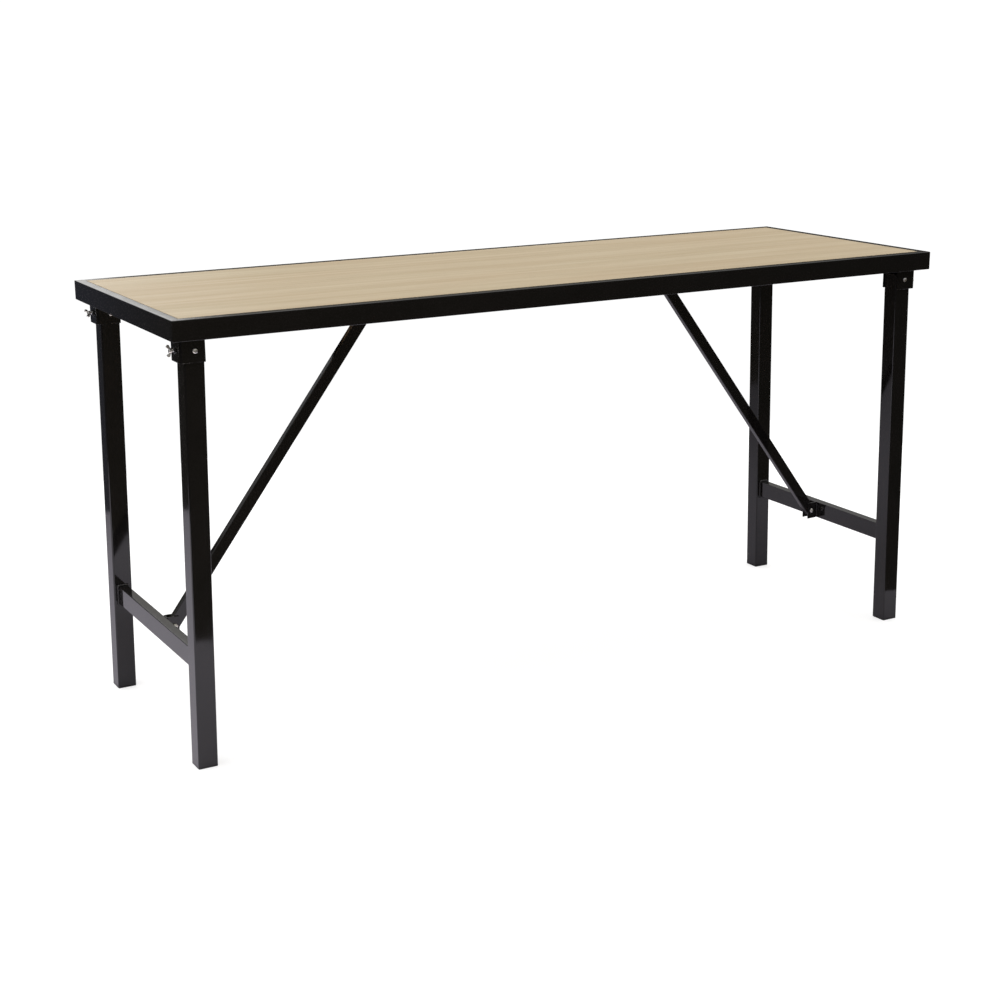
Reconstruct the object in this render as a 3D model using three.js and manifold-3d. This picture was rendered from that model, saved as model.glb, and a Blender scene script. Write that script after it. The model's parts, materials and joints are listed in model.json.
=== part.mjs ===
// Folding work table: a steel-framed top on two leg frames that swing up under it.
//
// Millimetres, +Z up, X along the table, Y across it with the front at -Y.
// The origin is on the floor, below the middle of the table.
import * as THREE from "three";
import { mergeVertices } from "three/addons/utils/BufferGeometryUtils.js";
import Module from "manifold-3d";

// ---- Driving dimensions ----

// Whole table
const TABLE_LENGTH = 1800;
const TABLE_WIDTH = 600;
const TABLE_HEIGHT = 885;

// Top: a rim of rectangular tube, a board let into it and cross-members below the board
const RAIL_HEIGHT = 40;
const RAIL_WIDTH = 20;
const TUBE_WALL = 1.5;
const PANEL_THICKNESS = 12;
const CROSS_MEMBER_WIDTH = 30;
const CROSS_MEMBER_HEIGHT = 10;
const INNER_CROSS_MEMBER_X = 359;
const OUTER_CROSS_MEMBER_INSET = 110;

// Leg frames: two square legs and a crossbar
const LEG_SIZE = 40;
const LEG_CORNER = 3;
const LEG_TOP_ABOVE_PIVOT = 12;
const FOOT_SPLAY = 15;
const CROSSBAR_HEIGHT = 40;
const CROSSBAR_DEPTH = 20;
const CROSSBAR_LEVEL = 212;
const FOOT_THICKNESS = 2.5;
const FOOT_PLUG_DEPTH = 18;
const FOOT_PLUG_WALL = 2.5;

// Folded sheet brackets that carry the legs
const BRACKET_SHEET = 3;
const BRACKET_BEND = 5;
const BRACKET_BELOW_PIVOT = 22;
const BRACKET_SIDE_GAP = 5;
const LEG_SIDE_CLEARANCE = 2;
const LEG_SWING_CLEARANCE = 3.4;

// Diagonal braces and the folded sheet forks at their two ends
const BRACE_DEPTH = 25;
const BRACE_WIDTH = 15;
const FORK_SHEET = 2.5;
const FORK_BEND = 3.5;
const FORK_REACH = 27;
const FORK_CLEARANCE = 0.75;
const ANCHOR_LENGTH = 36;

// Fasteners
const BOLT_DIAMETER = 6;
const BOLT_HEAD_DIAMETER = 10;
const BOLT_HEAD_HEIGHT = 3.6;
const HEAD_RIM_SHARE = 0.3;
const THREAD_CHAMFER = 0.75;
const NUT_ACROSS_FLATS = 10;
const NUT_HEIGHT = 6;
const THREAD_STANDOUT = 1;
const WELD_NUT_HEIGHT = 3;
const WELD_DEPTH = 1;
const WING_HUB_DIAMETER = 10;
const WING_HUB_HEIGHT = 5;
const WING_SPAN = 23;
const WING_RISE = 9.5;
const WING_THICKNESS = 2.8;
const WING_LOBE_RADIUS = 3.4;
const WING_NECK_RADIUS = 2.3;
const WING_ROOT_INSET = 2;
const WING_HUB_TAPER = 1;
const PANEL_SCREW_DIAMETER = 4;
const PANEL_SCREW_HEAD_DIAMETER = 8;
const PANEL_SCREW_HEAD_HEIGHT = 2.4;
const PANEL_SCREW_BITE = 8;
const PANEL_SCREW_SPREAD = 140;

// Fits
const JOINT_GAP = 0.3;
const HOLE_CLEARANCE = 0.25;
const TIGHTENED_GAP = 0.3;
const FOLDED_BRACE_OVER_BAR = 4;
const FOLDED_BRACE_UNDER_MEMBER = 1.7;
const BRACE_PASSING_GAP = 0.85;
const BRACE_END_CLEARANCE = 1.5;

// How far round each wing stands from upright, one for each corner of the table
const WING_ANGLES = {
  front_left: 12,
  back_left: 58,
  front_right: -35,
  back_right: 24,
};

// ---- Sizes and places worked out from them ----

const RAIL_TOP = TABLE_HEIGHT;
const RAIL_INNER_X = TABLE_LENGTH / 2 - RAIL_WIDTH;
const RAIL_INNER_Y = TABLE_WIDTH / 2 - RAIL_WIDTH;
const PANEL_BOTTOM = TABLE_HEIGHT - PANEL_THICKNESS;
const MEMBER_TOP = PANEL_BOTTOM - JOINT_GAP;
const MEMBER_BOTTOM = MEMBER_TOP - CROSS_MEMBER_HEIGHT;
const OUTER_CROSS_MEMBER_X = TABLE_LENGTH / 2 - OUTER_CROSS_MEMBER_INSET;

// Each cross-member carries two screws that come up through it into the board.
const SCREW_SIDES = [-PANEL_SCREW_SPREAD, PANEL_SCREW_SPREAD];
const CROSS_MEMBER_PLACES = {
  outer_left: -OUTER_CROSS_MEMBER_X,
  inner_left: -INNER_CROSS_MEMBER_X,
  inner_right: INNER_CROSS_MEMBER_X,
  outer_right: OUTER_CROSS_MEMBER_X,
};
const SCREW_PLACES = Object.values(CROSS_MEMBER_PLACES)
  .flatMap((x) => SCREW_SIDES.map((y) => ({ x, y })));

// The folded leg frame lies level, with its brace between its crossbar and the cross-members.
const PIVOT_Z =
  MEMBER_BOTTOM - FOLDED_BRACE_UNDER_MEMBER - BRACE_DEPTH - FOLDED_BRACE_OVER_BAR - CROSSBAR_DEPTH / 2;
const LEG_SWING_RADIUS = Math.hypot(LEG_SIZE / 2, LEG_TOP_ABOVE_PIVOT);
const BRACKET_WEB_OUTER = RAIL_INNER_X - JOINT_GAP;
const BRACKET_WEB_INNER = BRACKET_WEB_OUTER - BRACKET_SHEET;
const PIVOT_X = BRACKET_WEB_INNER - LEG_SWING_CLEARANCE - LEG_SWING_RADIUS;
const BRACKET_HALF_WIDTH = LEG_SIZE / 2 + LEG_SIDE_CLEARANCE + BRACKET_SHEET;
const LEG_Y = RAIL_INNER_Y - BRACKET_SIDE_GAP - BRACKET_HALF_WIDTH;
const BRACKET_TOP = PANEL_BOTTOM - BRACKET_SHEET;
const SPLAY = Math.atan(FOOT_SPLAY / PIVOT_Z);

// Brace linkage, as seen from the front on the right-hand side of the table.
// The lower pivot is given in the leg frame's own axes and then in the table's.
const LOWER_PIVOT_REACH = CROSSBAR_DEPTH / 2 + FOLDED_BRACE_OVER_BAR + BRACE_DEPTH / 2;
const LOWER_PIVOT_DROP = (PIVOT_Z - CROSSBAR_LEVEL) / Math.cos(SPLAY);
const LOWER_PIVOT = {
  x: PIVOT_X - LOWER_PIVOT_REACH * Math.cos(SPLAY) + LOWER_PIVOT_DROP * Math.sin(SPLAY),
  z: PIVOT_Z - LOWER_PIVOT_REACH * Math.sin(SPLAY) - LOWER_PIVOT_DROP * Math.cos(SPLAY),
};
const UPPER_PIVOT = {
  x: INNER_CROSS_MEMBER_X,
  z: MEMBER_BOTTOM - JOINT_GAP - FORK_SHEET - BRACE_END_CLEARANCE - BRACE_DEPTH / 2,
};
const BRACE_RUN = LOWER_PIVOT.x - UPPER_PIVOT.x;
const BRACE_RISE = UPPER_PIVOT.z - LOWER_PIVOT.z;
const BRACE_LENGTH = Math.hypot(BRACE_RUN, BRACE_RISE);
const BRACE_SLOPE = Math.atan2(BRACE_RISE, BRACE_RUN);

// The two braces lie side by side when both leg frames are folded.
const FORK_HALF_WIDTH = BRACE_WIDTH / 2 + FORK_CLEARANCE + FORK_SHEET;
const BRACE_Y =
  (FORK_HALF_WIDTH + JOINT_GAP + BOLT_HEAD_HEIGHT + BRACE_PASSING_GAP + BRACE_WIDTH / 2) / 2;

// The leg frame turns by a right angle and its splay while the brace turns level.
// The upper bolt leaves its slot the way it sets off at the start of that.
const LEG_FOLD_ANGLE = Math.PI / 2 + SPLAY;
const BRACE_TURN_PER_LEG_TURN = BRACE_SLOPE / LEG_FOLD_ANGLE;
const RELEASE_ANGLE = Math.atan2(
  LOWER_PIVOT.x - PIVOT_X + BRACE_TURN_PER_LEG_TURN * BRACE_RUN,
  PIVOT_Z - LOWER_PIVOT.z + BRACE_TURN_PER_LEG_TURN * BRACE_RISE,
);

// Wing screws: the tip clears the swinging leg, and pinches it when screwed in.
const WING_SCREW_TIP = PIVOT_X + LEG_SWING_RADIUS + TIGHTENED_GAP;
const WING_SCREW_TRAVEL = WING_SCREW_TIP - (PIVOT_X + LEG_SIZE / 2) - TIGHTENED_GAP;
const WELD_NUT_FACE = BRACKET_WEB_OUTER + WELD_NUT_HEIGHT;
const WING_SCREW_HUB = WELD_NUT_FACE + WING_SCREW_TRAVEL + TIGHTENED_GAP;

const BOLT_RADIUS = BOLT_DIAMETER / 2;
const HOLE_RADIUS = BOLT_RADIUS + HOLE_CLEARANCE;

// Cutters run this far past what they cut.
const OVERSHOOT = 5;

// Steps in a full turn of a round piece, and in a quarter turn of a small corner
const FINE = 12;
const COARSE = 3;

// ---- Materials ----

const BLACK_PAINT = { color: 0x1b1a1c, roughness: 0.28, metalness: 0.1 };
const OAK_LAMINATE = { color: 0xcdbfa0, roughness: 0.55, metalness: 0 };
const BRIGHT_ZINC = { color: 0xc9ccd0, roughness: 0.25, metalness: 1 };
const BLACK_PLASTIC = { color: 0x131313, roughness: 0.6, metalness: 0 };

// ---- Solids ----

const wasm = await Module();
wasm.setup();

function toSolid(geometry) {
  const bare = geometry.index ? geometry.toNonIndexed() : geometry.clone();
  bare.deleteAttribute("normal");
  bare.deleteAttribute("uv");
  const merged = mergeVertices(bare, 1e-4);
  const vertProperties = merged.attributes.position.array;
  const triVerts = new Uint32Array(merged.index.array);
  return new wasm.Manifold(new wasm.Mesh({ numProp: 3, vertProperties, triVerts }));
}

function toGeometry(solid) {
  const mesh = solid.getMesh();
  const geometry = new THREE.BufferGeometry();
  geometry.setAttribute("position", new THREE.BufferAttribute(mesh.vertProperties, 3));
  geometry.setIndex(new THREE.BufferAttribute(mesh.triVerts, 1));
  geometry.computeVertexNormals();
  return geometry;
}

// The first geometry with the others taken out of it.
function cut(geometry, ...cutters) {
  const solid = cutters.reduce((left, cutter) => left.subtract(toSolid(cutter)), toSolid(geometry));
  return toGeometry(solid);
}

function join(geometry, ...others) {
  return toGeometry(others.reduce((sum, other) => sum.add(toSolid(other)), toSolid(geometry)));
}

function common(first, second) {
  return toGeometry(toSolid(first).intersect(toSolid(second)));
}

// ---- Outlines and basic shapes ----

function roundedRectangle(width, height, radius) {
  const x = width / 2 - radius;
  const y = height / 2 - radius;
  const shape = new THREE.Shape();
  shape.absarc(x, y, radius, 0, Math.PI / 2);
  shape.absarc(-x, y, radius, Math.PI / 2, Math.PI);
  shape.absarc(-x, -y, radius, Math.PI, 1.5 * Math.PI);
  shape.absarc(x, -y, radius, 1.5 * Math.PI, 2 * Math.PI);
  shape.closePath();
  return shape;
}

// A strip with half-round ends, from one point to another.
function stadium(from, to, radius) {
  const angle = Math.atan2(to.y - from.y, to.x - from.x);
  const shape = new THREE.Shape();
  shape.absarc(to.x, to.y, radius, angle - Math.PI / 2, angle + Math.PI / 2);
  shape.absarc(from.x, from.y, radius, angle + Math.PI / 2, angle + 1.5 * Math.PI);
  shape.closePath();
  return shape;
}

// An outline pulled up along +Z from zero.
function prism(shape, depth, curveSegments = COARSE) {
  return new THREE.ExtrudeGeometry(shape, { depth, curveSegments, bevelEnabled: false });
}

function block(x, y, z) {
  return new THREE.BoxGeometry(x, y, z);
}

// Rectangular tube with open ends, along Z and centred on its length.
function tube(width, height, wall, corner, length) {
  const shape = roundedRectangle(width, height, corner);
  shape.holes.push(roundedRectangle(width - 2 * wall, height - 2 * wall, Math.max(corner - wall, 0.5)));
  return prism(shape, length).translate(0, 0, -length / 2);
}

// A round rod along Y, centred on the given point.
function rodAlongY(radius, length, x = 0, y = 0, z = 0, segments = FINE) {
  return new THREE.CylinderGeometry(radius, radius, length, segments).translate(x, y, z);
}

// Folded channel along Z: its web is at the +X end and its open side faces -X.
// It reaches from x = 0, the outer face of the web, to x = -reach.
function channel(reach, halfWidth, sheet, bend, length) {
  const inner = halfWidth - sheet;
  const innerBend = bend - sheet;
  const shape = new THREE.Shape();
  shape.moveTo(-reach, -halfWidth);
  shape.lineTo(-bend, -halfWidth);
  shape.absarc(-bend, -halfWidth + bend, bend, 1.5 * Math.PI, 2 * Math.PI);
  shape.absarc(-bend, halfWidth - bend, bend, 0, Math.PI / 2);
  shape.lineTo(-reach, halfWidth);
  shape.lineTo(-reach, inner);
  shape.lineTo(-bend, inner);
  shape.absarc(-bend, inner - innerBend, innerBend, Math.PI / 2, 0, true);
  shape.absarc(-bend, -inner + innerBend, innerBend, 0, -Math.PI / 2, true);
  shape.lineTo(-reach, -inner);
  shape.closePath();
  return prism(shape, length);
}

// ---- Fasteners, each along +Z with the face that it seats on at zero ----

// Domed head above zero, plain shank below it.
function domedBolt(headDiameter, headHeight, shankDiameter, shankLength, segments = FINE) {
  const head = headDiameter / 2;
  const shank = shankDiameter / 2;
  const rim = headHeight * HEAD_RIM_SHARE;
  const dome = new THREE.EllipseCurve(0, rim, head, headHeight - rim, 0, Math.PI / 2);
  const profile = [
    new THREE.Vector2(0, -shankLength),
    new THREE.Vector2(shank - THREAD_CHAMFER, -shankLength),
    new THREE.Vector2(shank, -shankLength + THREAD_CHAMFER),
    new THREE.Vector2(shank, 0),
    new THREE.Vector2(head, 0),
    ...dome.getPoints(COARSE).slice(0, -1),
    new THREE.Vector2(0, headHeight),
  ];
  return new THREE.LatheGeometry(profile, segments).rotateX(Math.PI / 2);
}

function hexagon(acrossFlats) {
  const corner = acrossFlats / 2 / Math.cos(Math.PI / 6);
  const turns = Array.from({ length: 6 }, (_, i) => (i * Math.PI) / 3);
  return new THREE.Shape(turns.map((t) => new THREE.Vector2(corner * Math.cos(t), corner * Math.sin(t))));
}

function hexNut(acrossFlats, height, holeRadius) {
  const shape = hexagon(acrossFlats);
  shape.holes.push(new THREE.Path().absarc(0, 0, holeRadius, 0, 2 * Math.PI, true));
  return prism(shape, height, FINE / 2);
}

// Hub with two upright wings. Its threaded hole or stud is added by what uses it.
function wingHead() {
  const root = { x: WING_HUB_DIAMETER / 2 - WING_ROOT_INSET, y: WING_HUB_HEIGHT / 2 };
  const tip = { x: WING_SPAN / 2 - WING_LOBE_RADIUS, y: WING_RISE - WING_LOBE_RADIUS };
  const lobe = new THREE.Shape().absarc(tip.x, tip.y, WING_LOBE_RADIUS, 0, 2 * Math.PI);
  const wing = prism(stadium(root, tip, WING_NECK_RADIUS), WING_THICKNESS)
    .translate(0, 0, -WING_THICKNESS / 2)
    .rotateX(Math.PI / 2);
  const pad = prism(lobe, WING_THICKNESS, FINE / 2)
    .translate(0, 0, -WING_THICKNESS / 2)
    .rotateX(Math.PI / 2);
  const belowSeat = block(WING_SPAN, WING_SPAN, WING_SPAN).translate(0, 0, -WING_SPAN / 2);
  const hub = new THREE.CylinderGeometry(
    WING_HUB_DIAMETER / 2 - WING_HUB_TAPER,
    WING_HUB_DIAMETER / 2,
    WING_HUB_HEIGHT,
    FINE,
  )
    .rotateX(Math.PI / 2)
    .translate(0, 0, WING_HUB_HEIGHT / 2);
  const otherWing = wing.clone().rotateZ(Math.PI);
  const otherPad = pad.clone().rotateZ(Math.PI);
  return cut(join(hub, wing, pad, otherWing, otherPad), belowSeat);
}

// The stud runs up through half of the hub that it is part of.
function wingScrew(studLength) {
  const root = WING_HUB_HEIGHT / 2;
  const stud = new THREE.CylinderGeometry(BOLT_RADIUS, BOLT_RADIUS, studLength + root, FINE)
    .rotateX(Math.PI / 2)
    .translate(0, 0, root - (studLength + root) / 2);
  return join(wingHead(), stud);
}

function wingNut() {
  const depth = 2 * (WING_HUB_HEIGHT + OVERSHOOT);
  const hole = new THREE.CylinderGeometry(HOLE_RADIUS, HOLE_RADIUS, depth, FINE).rotateX(Math.PI / 2);
  return cut(wingHead(), hole);
}

// ---- Building the scene graph ----

const table = new THREE.Group();

function add(parent, name, geometry, finish, x = 0, y = 0, z = 0) {
  const mesh = new THREE.Mesh(geometry, new THREE.MeshStandardMaterial(finish));
  mesh.name = name;
  mesh.position.set(x, y, z);
  parent.add(mesh);
  return mesh;
}

// Rim tube with mitred ends, along X with its outer face towards -Y.
function rimRail(length) {
  const mitreGap = JOINT_GAP / Math.SQRT2;
  const outer = length / 2 - mitreGap;
  const inner = outer - RAIL_WIDTH;
  const plan = new THREE.Shape([
    new THREE.Vector2(-outer, 0),
    new THREE.Vector2(outer, 0),
    new THREE.Vector2(inner, RAIL_WIDTH),
    new THREE.Vector2(-inner, RAIL_WIDTH),
  ]);
  const straight = tube(RAIL_HEIGHT, RAIL_WIDTH, TUBE_WALL, LEG_CORNER / 2, length)
    .rotateY(Math.PI / 2)
    .translate(0, RAIL_WIDTH / 2, 0);
  return common(straight, prism(plan, 2 * RAIL_HEIGHT).translate(0, 0, -RAIL_HEIGHT));
}

function buildRim() {
  const middle = RAIL_TOP - RAIL_HEIGHT / 2;
  const longRail = rimRail(TABLE_LENGTH);
  const endRail = rimRail(TABLE_WIDTH);
  add(table, "rail_front", longRail, BLACK_PAINT, 0, -TABLE_WIDTH / 2, middle);
  add(table, "rail_back", longRail, BLACK_PAINT, 0, TABLE_WIDTH / 2, middle).rotation.z = Math.PI;
  add(table, "rail_left", endRail, BLACK_PAINT, -TABLE_LENGTH / 2, 0, middle).rotation.z = -Math.PI / 2;
  add(table, "rail_right", endRail, BLACK_PAINT, TABLE_LENGTH / 2, 0, middle).rotation.z = Math.PI / 2;
}

function buildPanel() {
  const board = block(2 * RAIL_INNER_X - 2 * JOINT_GAP, 2 * RAIL_INNER_Y - 2 * JOINT_GAP, PANEL_THICKNESS);
  const pilotRadius = PANEL_SCREW_DIAMETER / 2 + HOLE_CLEARANCE;
  const pilotDepth = PANEL_SCREW_BITE + JOINT_GAP;
  const pilots = SCREW_PLACES.map(({ x, y }) =>
    new THREE.CylinderGeometry(pilotRadius, pilotRadius, 2 * pilotDepth, FINE)
      .rotateX(Math.PI / 2)
      .translate(x, y, -PANEL_THICKNESS / 2),
  );
  add(table, "top_panel", cut(board, ...pilots), OAK_LAMINATE, 0, 0, TABLE_HEIGHT - PANEL_THICKNESS / 2);
}

function crossMember() {
  const length = 2 * RAIL_INNER_Y - 2 * JOINT_GAP;
  const straight = tube(CROSS_MEMBER_WIDTH, CROSS_MEMBER_HEIGHT, TUBE_WALL, LEG_CORNER / 2, length)
    .rotateX(-Math.PI / 2);
  const radius = PANEL_SCREW_DIAMETER / 2 + HOLE_CLEARANCE;
  const holes = SCREW_SIDES.map((y) =>
    new THREE.CylinderGeometry(radius, radius, 2 * CROSS_MEMBER_HEIGHT, FINE)
      .rotateX(Math.PI / 2)
      .translate(0, y, 0),
  );
  return cut(straight, ...holes);
}

function buildCrossMembers() {
  const member = crossMember();
  const level = MEMBER_TOP - CROSS_MEMBER_HEIGHT / 2;
  const headSeat = MEMBER_BOTTOM - JOINT_GAP;
  const screw = domedBolt(
    PANEL_SCREW_HEAD_DIAMETER,
    PANEL_SCREW_HEAD_HEIGHT,
    PANEL_SCREW_DIAMETER,
    PANEL_BOTTOM + PANEL_SCREW_BITE - headSeat,
    FINE / 2 + 2,
  ).rotateX(Math.PI);
  for (const [place, x] of Object.entries(CROSS_MEMBER_PLACES)) {
    add(table, `cross_member_${place}`, member, BLACK_PAINT, x, 0, level);
    add(table, `panel_screw_${place}_front`, screw, BRIGHT_ZINC, x, -PANEL_SCREW_SPREAD, headSeat);
    add(table, `panel_screw_${place}_back`, screw, BRIGHT_ZINC, x, PANEL_SCREW_SPREAD, headSeat);
  }
}

// ---- One end of the table ----
// Everything below is drawn for the right-hand end and turned half round for the left-hand one,
// so a piece at -Y is at the front on the right and at the back on the left.

function cornerName(side, sign) {
  const front = (side === "right") === (sign < 0);
  return `${front ? "front" : "back"}_${side}`;
}

// Channel bracket between the rim and the leg, with a weld nut on its web for the wing screw.
function legBracket() {
  const bottom = PIVOT_Z - BRACKET_BELOW_PIVOT;
  const reach = BRACKET_WEB_OUTER - (PIVOT_X - LEG_SIZE / 2);
  const sheet = channel(reach, BRACKET_HALF_WIDTH, BRACKET_SHEET, BRACKET_BEND, BRACKET_TOP - bottom)
    .translate(BRACKET_WEB_OUTER, 0, bottom);
  const weldNut = prism(hexagon(NUT_ACROSS_FLATS), WELD_NUT_HEIGHT + WELD_DEPTH)
    .rotateY(Math.PI / 2)
    .translate(BRACKET_WEB_OUTER - WELD_DEPTH, 0, PIVOT_Z);
  const pivotHole = rodAlongY(HOLE_RADIUS, 2 * BRACKET_HALF_WIDTH + OVERSHOOT, PIVOT_X, 0, PIVOT_Z);
  const threadLength = 2 * (WELD_NUT_HEIGHT + OVERSHOOT);
  const threadHole = new THREE.CylinderGeometry(HOLE_RADIUS, HOLE_RADIUS, threadLength, FINE)
    .rotateZ(Math.PI / 2)
    .translate(BRACKET_WEB_OUTER, 0, PIVOT_Z);
  return cut(join(sheet, weldNut), pivotHole, threadHole);
}

// Square leg in the leg frame's axes, cut level with the floor at its foot.
function leg(floorCut) {
  const length = PIVOT_Z + LEG_TOP_ABOVE_PIVOT + OVERSHOOT;
  const straight = tube(LEG_SIZE, LEG_SIZE, TUBE_WALL, LEG_CORNER, length)
    .translate(0, 0, LEG_TOP_ABOVE_PIVOT - length / 2);
  return cut(straight, floorCut, rodAlongY(HOLE_RADIUS, LEG_SIZE + OVERSHOOT));
}

// Everything below the given height above the floor, in the leg frame's axes and about one leg.
function belowFloorLevel(height) {
  const size = 4 * LEG_SIZE;
  return block(size, size, size)
    .translate(0, 0, height - size / 2 - PIVOT_Z)
    .rotateY(SPLAY);
}

// Plastic plug pressed into the leg, with a flat sole as wide as the leg.
function footPlug() {
  const inside = LEG_SIZE - 2 * TUBE_WALL - 2 * JOINT_GAP;
  const top = FOOT_THICKNESS + FOOT_PLUG_DEPTH - PIVOT_Z;
  const insertLength = FOOT_PLUG_DEPTH + FOOT_THICKNESS;
  const hollow = inside - 2 * FOOT_PLUG_WALL;
  const insert = prism(roundedRectangle(inside, inside, LEG_CORNER / 2), insertLength)
    .translate(0, 0, top - insertLength);
  const cavity = block(hollow, hollow, 2 * FOOT_PLUG_DEPTH).translate(0, 0, top);
  const sole = prism(roundedRectangle(LEG_SIZE, LEG_SIZE, LEG_CORNER), LEG_SIZE)
    .translate(0, 0, -PIVOT_Z - LEG_SIZE / 2);
  const thinSole = common(sole, belowFloorLevel(FOOT_THICKNESS));
  return cut(join(thinSole, insert), cavity, belowFloorLevel(0));
}

function crossbar() {
  const length = 2 * (LEG_Y - LEG_SIZE / 2 - JOINT_GAP);
  return tube(CROSSBAR_DEPTH, CROSSBAR_HEIGHT, TUBE_WALL, LEG_CORNER / 2, length).rotateX(-Math.PI / 2);
}

// Fork on the crossbar's inner face that holds the brace's lower end.
function lowerFork() {
  const fork = channel(FORK_REACH - JOINT_GAP, FORK_HALF_WIDTH, FORK_SHEET, FORK_BEND, CROSSBAR_HEIGHT)
    .translate(-CROSSBAR_DEPTH / 2 - JOINT_GAP, 0, -CROSSBAR_HEIGHT / 2);
  return cut(fork, rodAlongY(HOLE_RADIUS, 2 * FORK_HALF_WIDTH + OVERSHOOT, -LOWER_PIVOT_REACH));
}

// Fork below the inner cross-member, with slots that let the upper bolt out.
function upperFork() {
  const depth = MEMBER_BOTTOM - JOINT_GAP - (UPPER_PIVOT.z - BRACE_DEPTH / 2);
  const fork = channel(depth, FORK_HALF_WIDTH, FORK_SHEET, FORK_BEND, ANCHOR_LENGTH)
    .translate(0, 0, -ANCHOR_LENGTH / 2)
    .rotateY(-Math.PI / 2)
    .translate(0, 0, MEMBER_BOTTOM - JOINT_GAP - UPPER_PIVOT.z);
  const mouth = {
    x: -ANCHOR_LENGTH * Math.cos(RELEASE_ANGLE),
    y: -ANCHOR_LENGTH * Math.sin(RELEASE_ANGLE),
  };
  const slot = prism(stadium({ x: 0, y: 0 }, mouth, HOLE_RADIUS), 2 * FORK_HALF_WIDTH + OVERSHOOT, FINE / 2)
    .rotateX(Math.PI / 2)
    .translate(0, FORK_HALF_WIDTH + OVERSHOOT / 2, 0);
  return cut(fork, slot);
}

// Brace along +Z from its lower bolt, with both ends rounded about the bolts.
function brace() {
  const length = BRACE_LENGTH + 2 * BRACE_DEPTH;
  const straight = tube(BRACE_DEPTH, BRACE_WIDTH, TUBE_WALL, LEG_CORNER / 2, length)
    .translate(0, 0, BRACE_LENGTH / 2);
  const side = prism(
    stadium({ x: 0, y: 0 }, { x: 0, y: BRACE_LENGTH }, BRACE_DEPTH / 2),
    2 * BRACE_WIDTH,
    FINE / 2,
  )
    .rotateX(Math.PI / 2)
    .translate(0, BRACE_WIDTH, 0);
  const lowerHole = rodAlongY(HOLE_RADIUS, 2 * BRACE_WIDTH);
  const upperHole = rodAlongY(HOLE_RADIUS, 2 * BRACE_WIDTH, 0, 0, BRACE_LENGTH);
  return cut(common(straight, side), lowerHole, upperHole);
}

// A bolt across a pair of walls, with its head at -Y or +Y and the nut that holds it.
function boltAcross(halfWidth, standout, headSign) {
  const seat = halfWidth + JOINT_GAP;
  const shank = 2 * seat + standout;
  return domedBolt(BOLT_HEAD_DIAMETER, BOLT_HEAD_HEIGHT, BOLT_DIAMETER, shank)
    .rotateX(-headSign * Math.PI / 2)
    .translate(0, headSign * seat, 0);
}

function nutAcross(nut, halfWidth, headSign) {
  return nut.rotateX(headSign * Math.PI / 2).translate(0, -headSign * (halfWidth + JOINT_GAP), 0);
}

function lockNut() {
  return hexNut(NUT_ACROSS_FLATS, NUT_HEIGHT, HOLE_RADIUS);
}

function buildLegs(end, legFrame, side) {
  const bracket = legBracket();
  const tubeLeg = leg(belowFloorLevel(FOOT_THICKNESS + JOINT_GAP));
  const plug = footPlug();
  const standout = NUT_HEIGHT + THREAD_STANDOUT;
  for (const sign of [-1, 1]) {
    const corner = cornerName(side, sign);
    const y = sign * LEG_Y;
    const pivotBolt = boltAcross(BRACKET_HALF_WIDTH, standout, sign);
    const pivotNut = nutAcross(lockNut(), BRACKET_HALF_WIDTH, sign);
    const screw = wingScrew(WING_SCREW_HUB - WING_SCREW_TIP)
      .rotateZ(THREE.MathUtils.degToRad(WING_ANGLES[corner]))
      .rotateY(Math.PI / 2);
    add(end, `leg_bracket_${corner}`, bracket, BLACK_PAINT, 0, y, 0);
    add(end, `pivot_bolt_${corner}`, pivotBolt, BRIGHT_ZINC, PIVOT_X, y, PIVOT_Z);
    add(end, `pivot_nut_${corner}`, pivotNut, BRIGHT_ZINC, PIVOT_X, y, PIVOT_Z);
    add(end, `wing_screw_${corner}`, screw, BRIGHT_ZINC, WING_SCREW_HUB, y, PIVOT_Z);
    add(legFrame, `leg_${corner}`, tubeLeg, BLACK_PAINT, 0, y, 0);
    add(legFrame, `foot_plug_${corner}`, plug, BLACK_PLASTIC, 0, y, 0);
  }
}

function buildLowerJoint(legFrame, side) {
  const standout = NUT_HEIGHT + THREAD_STANDOUT;
  const bolt = boltAcross(FORK_HALF_WIDTH, standout, -1);
  const nut = nutAcross(lockNut(), FORK_HALF_WIDTH, -1);
  const drop = -LOWER_PIVOT_DROP;
  add(legFrame, `crossbar_${side}`, crossbar(), BLACK_PAINT, 0, 0, drop);
  add(legFrame, `lower_fork_${side}`, lowerFork(), BLACK_PAINT, 0, BRACE_Y, drop);
  add(legFrame, `lower_bolt_${side}`, bolt, BRIGHT_ZINC, -LOWER_PIVOT_REACH, BRACE_Y, drop);
  add(legFrame, `lower_nut_${side}`, nut, BRIGHT_ZINC, -LOWER_PIVOT_REACH, BRACE_Y, drop);
}

function buildBrace(end, side) {
  const standout = WING_HUB_HEIGHT + THREAD_STANDOUT;
  const bolt = boltAcross(FORK_HALF_WIDTH, standout, -1);
  const nut = nutAcross(wingNut(), FORK_HALF_WIDTH, -1);
  const tilt = BRACE_SLOPE - Math.PI / 2;
  add(end, `upper_fork_${side}`, upperFork(), BLACK_PAINT, UPPER_PIVOT.x, BRACE_Y, UPPER_PIVOT.z);
  add(end, `brace_${side}`, brace(), BLACK_PAINT, LOWER_PIVOT.x, BRACE_Y, LOWER_PIVOT.z).rotation.y = tilt;
  add(end, `upper_bolt_${side}`, bolt, BRIGHT_ZINC, UPPER_PIVOT.x, BRACE_Y, UPPER_PIVOT.z);
  add(end, `upper_wing_nut_${side}`, nut, BRIGHT_ZINC, UPPER_PIVOT.x, BRACE_Y, UPPER_PIVOT.z);
}

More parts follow.
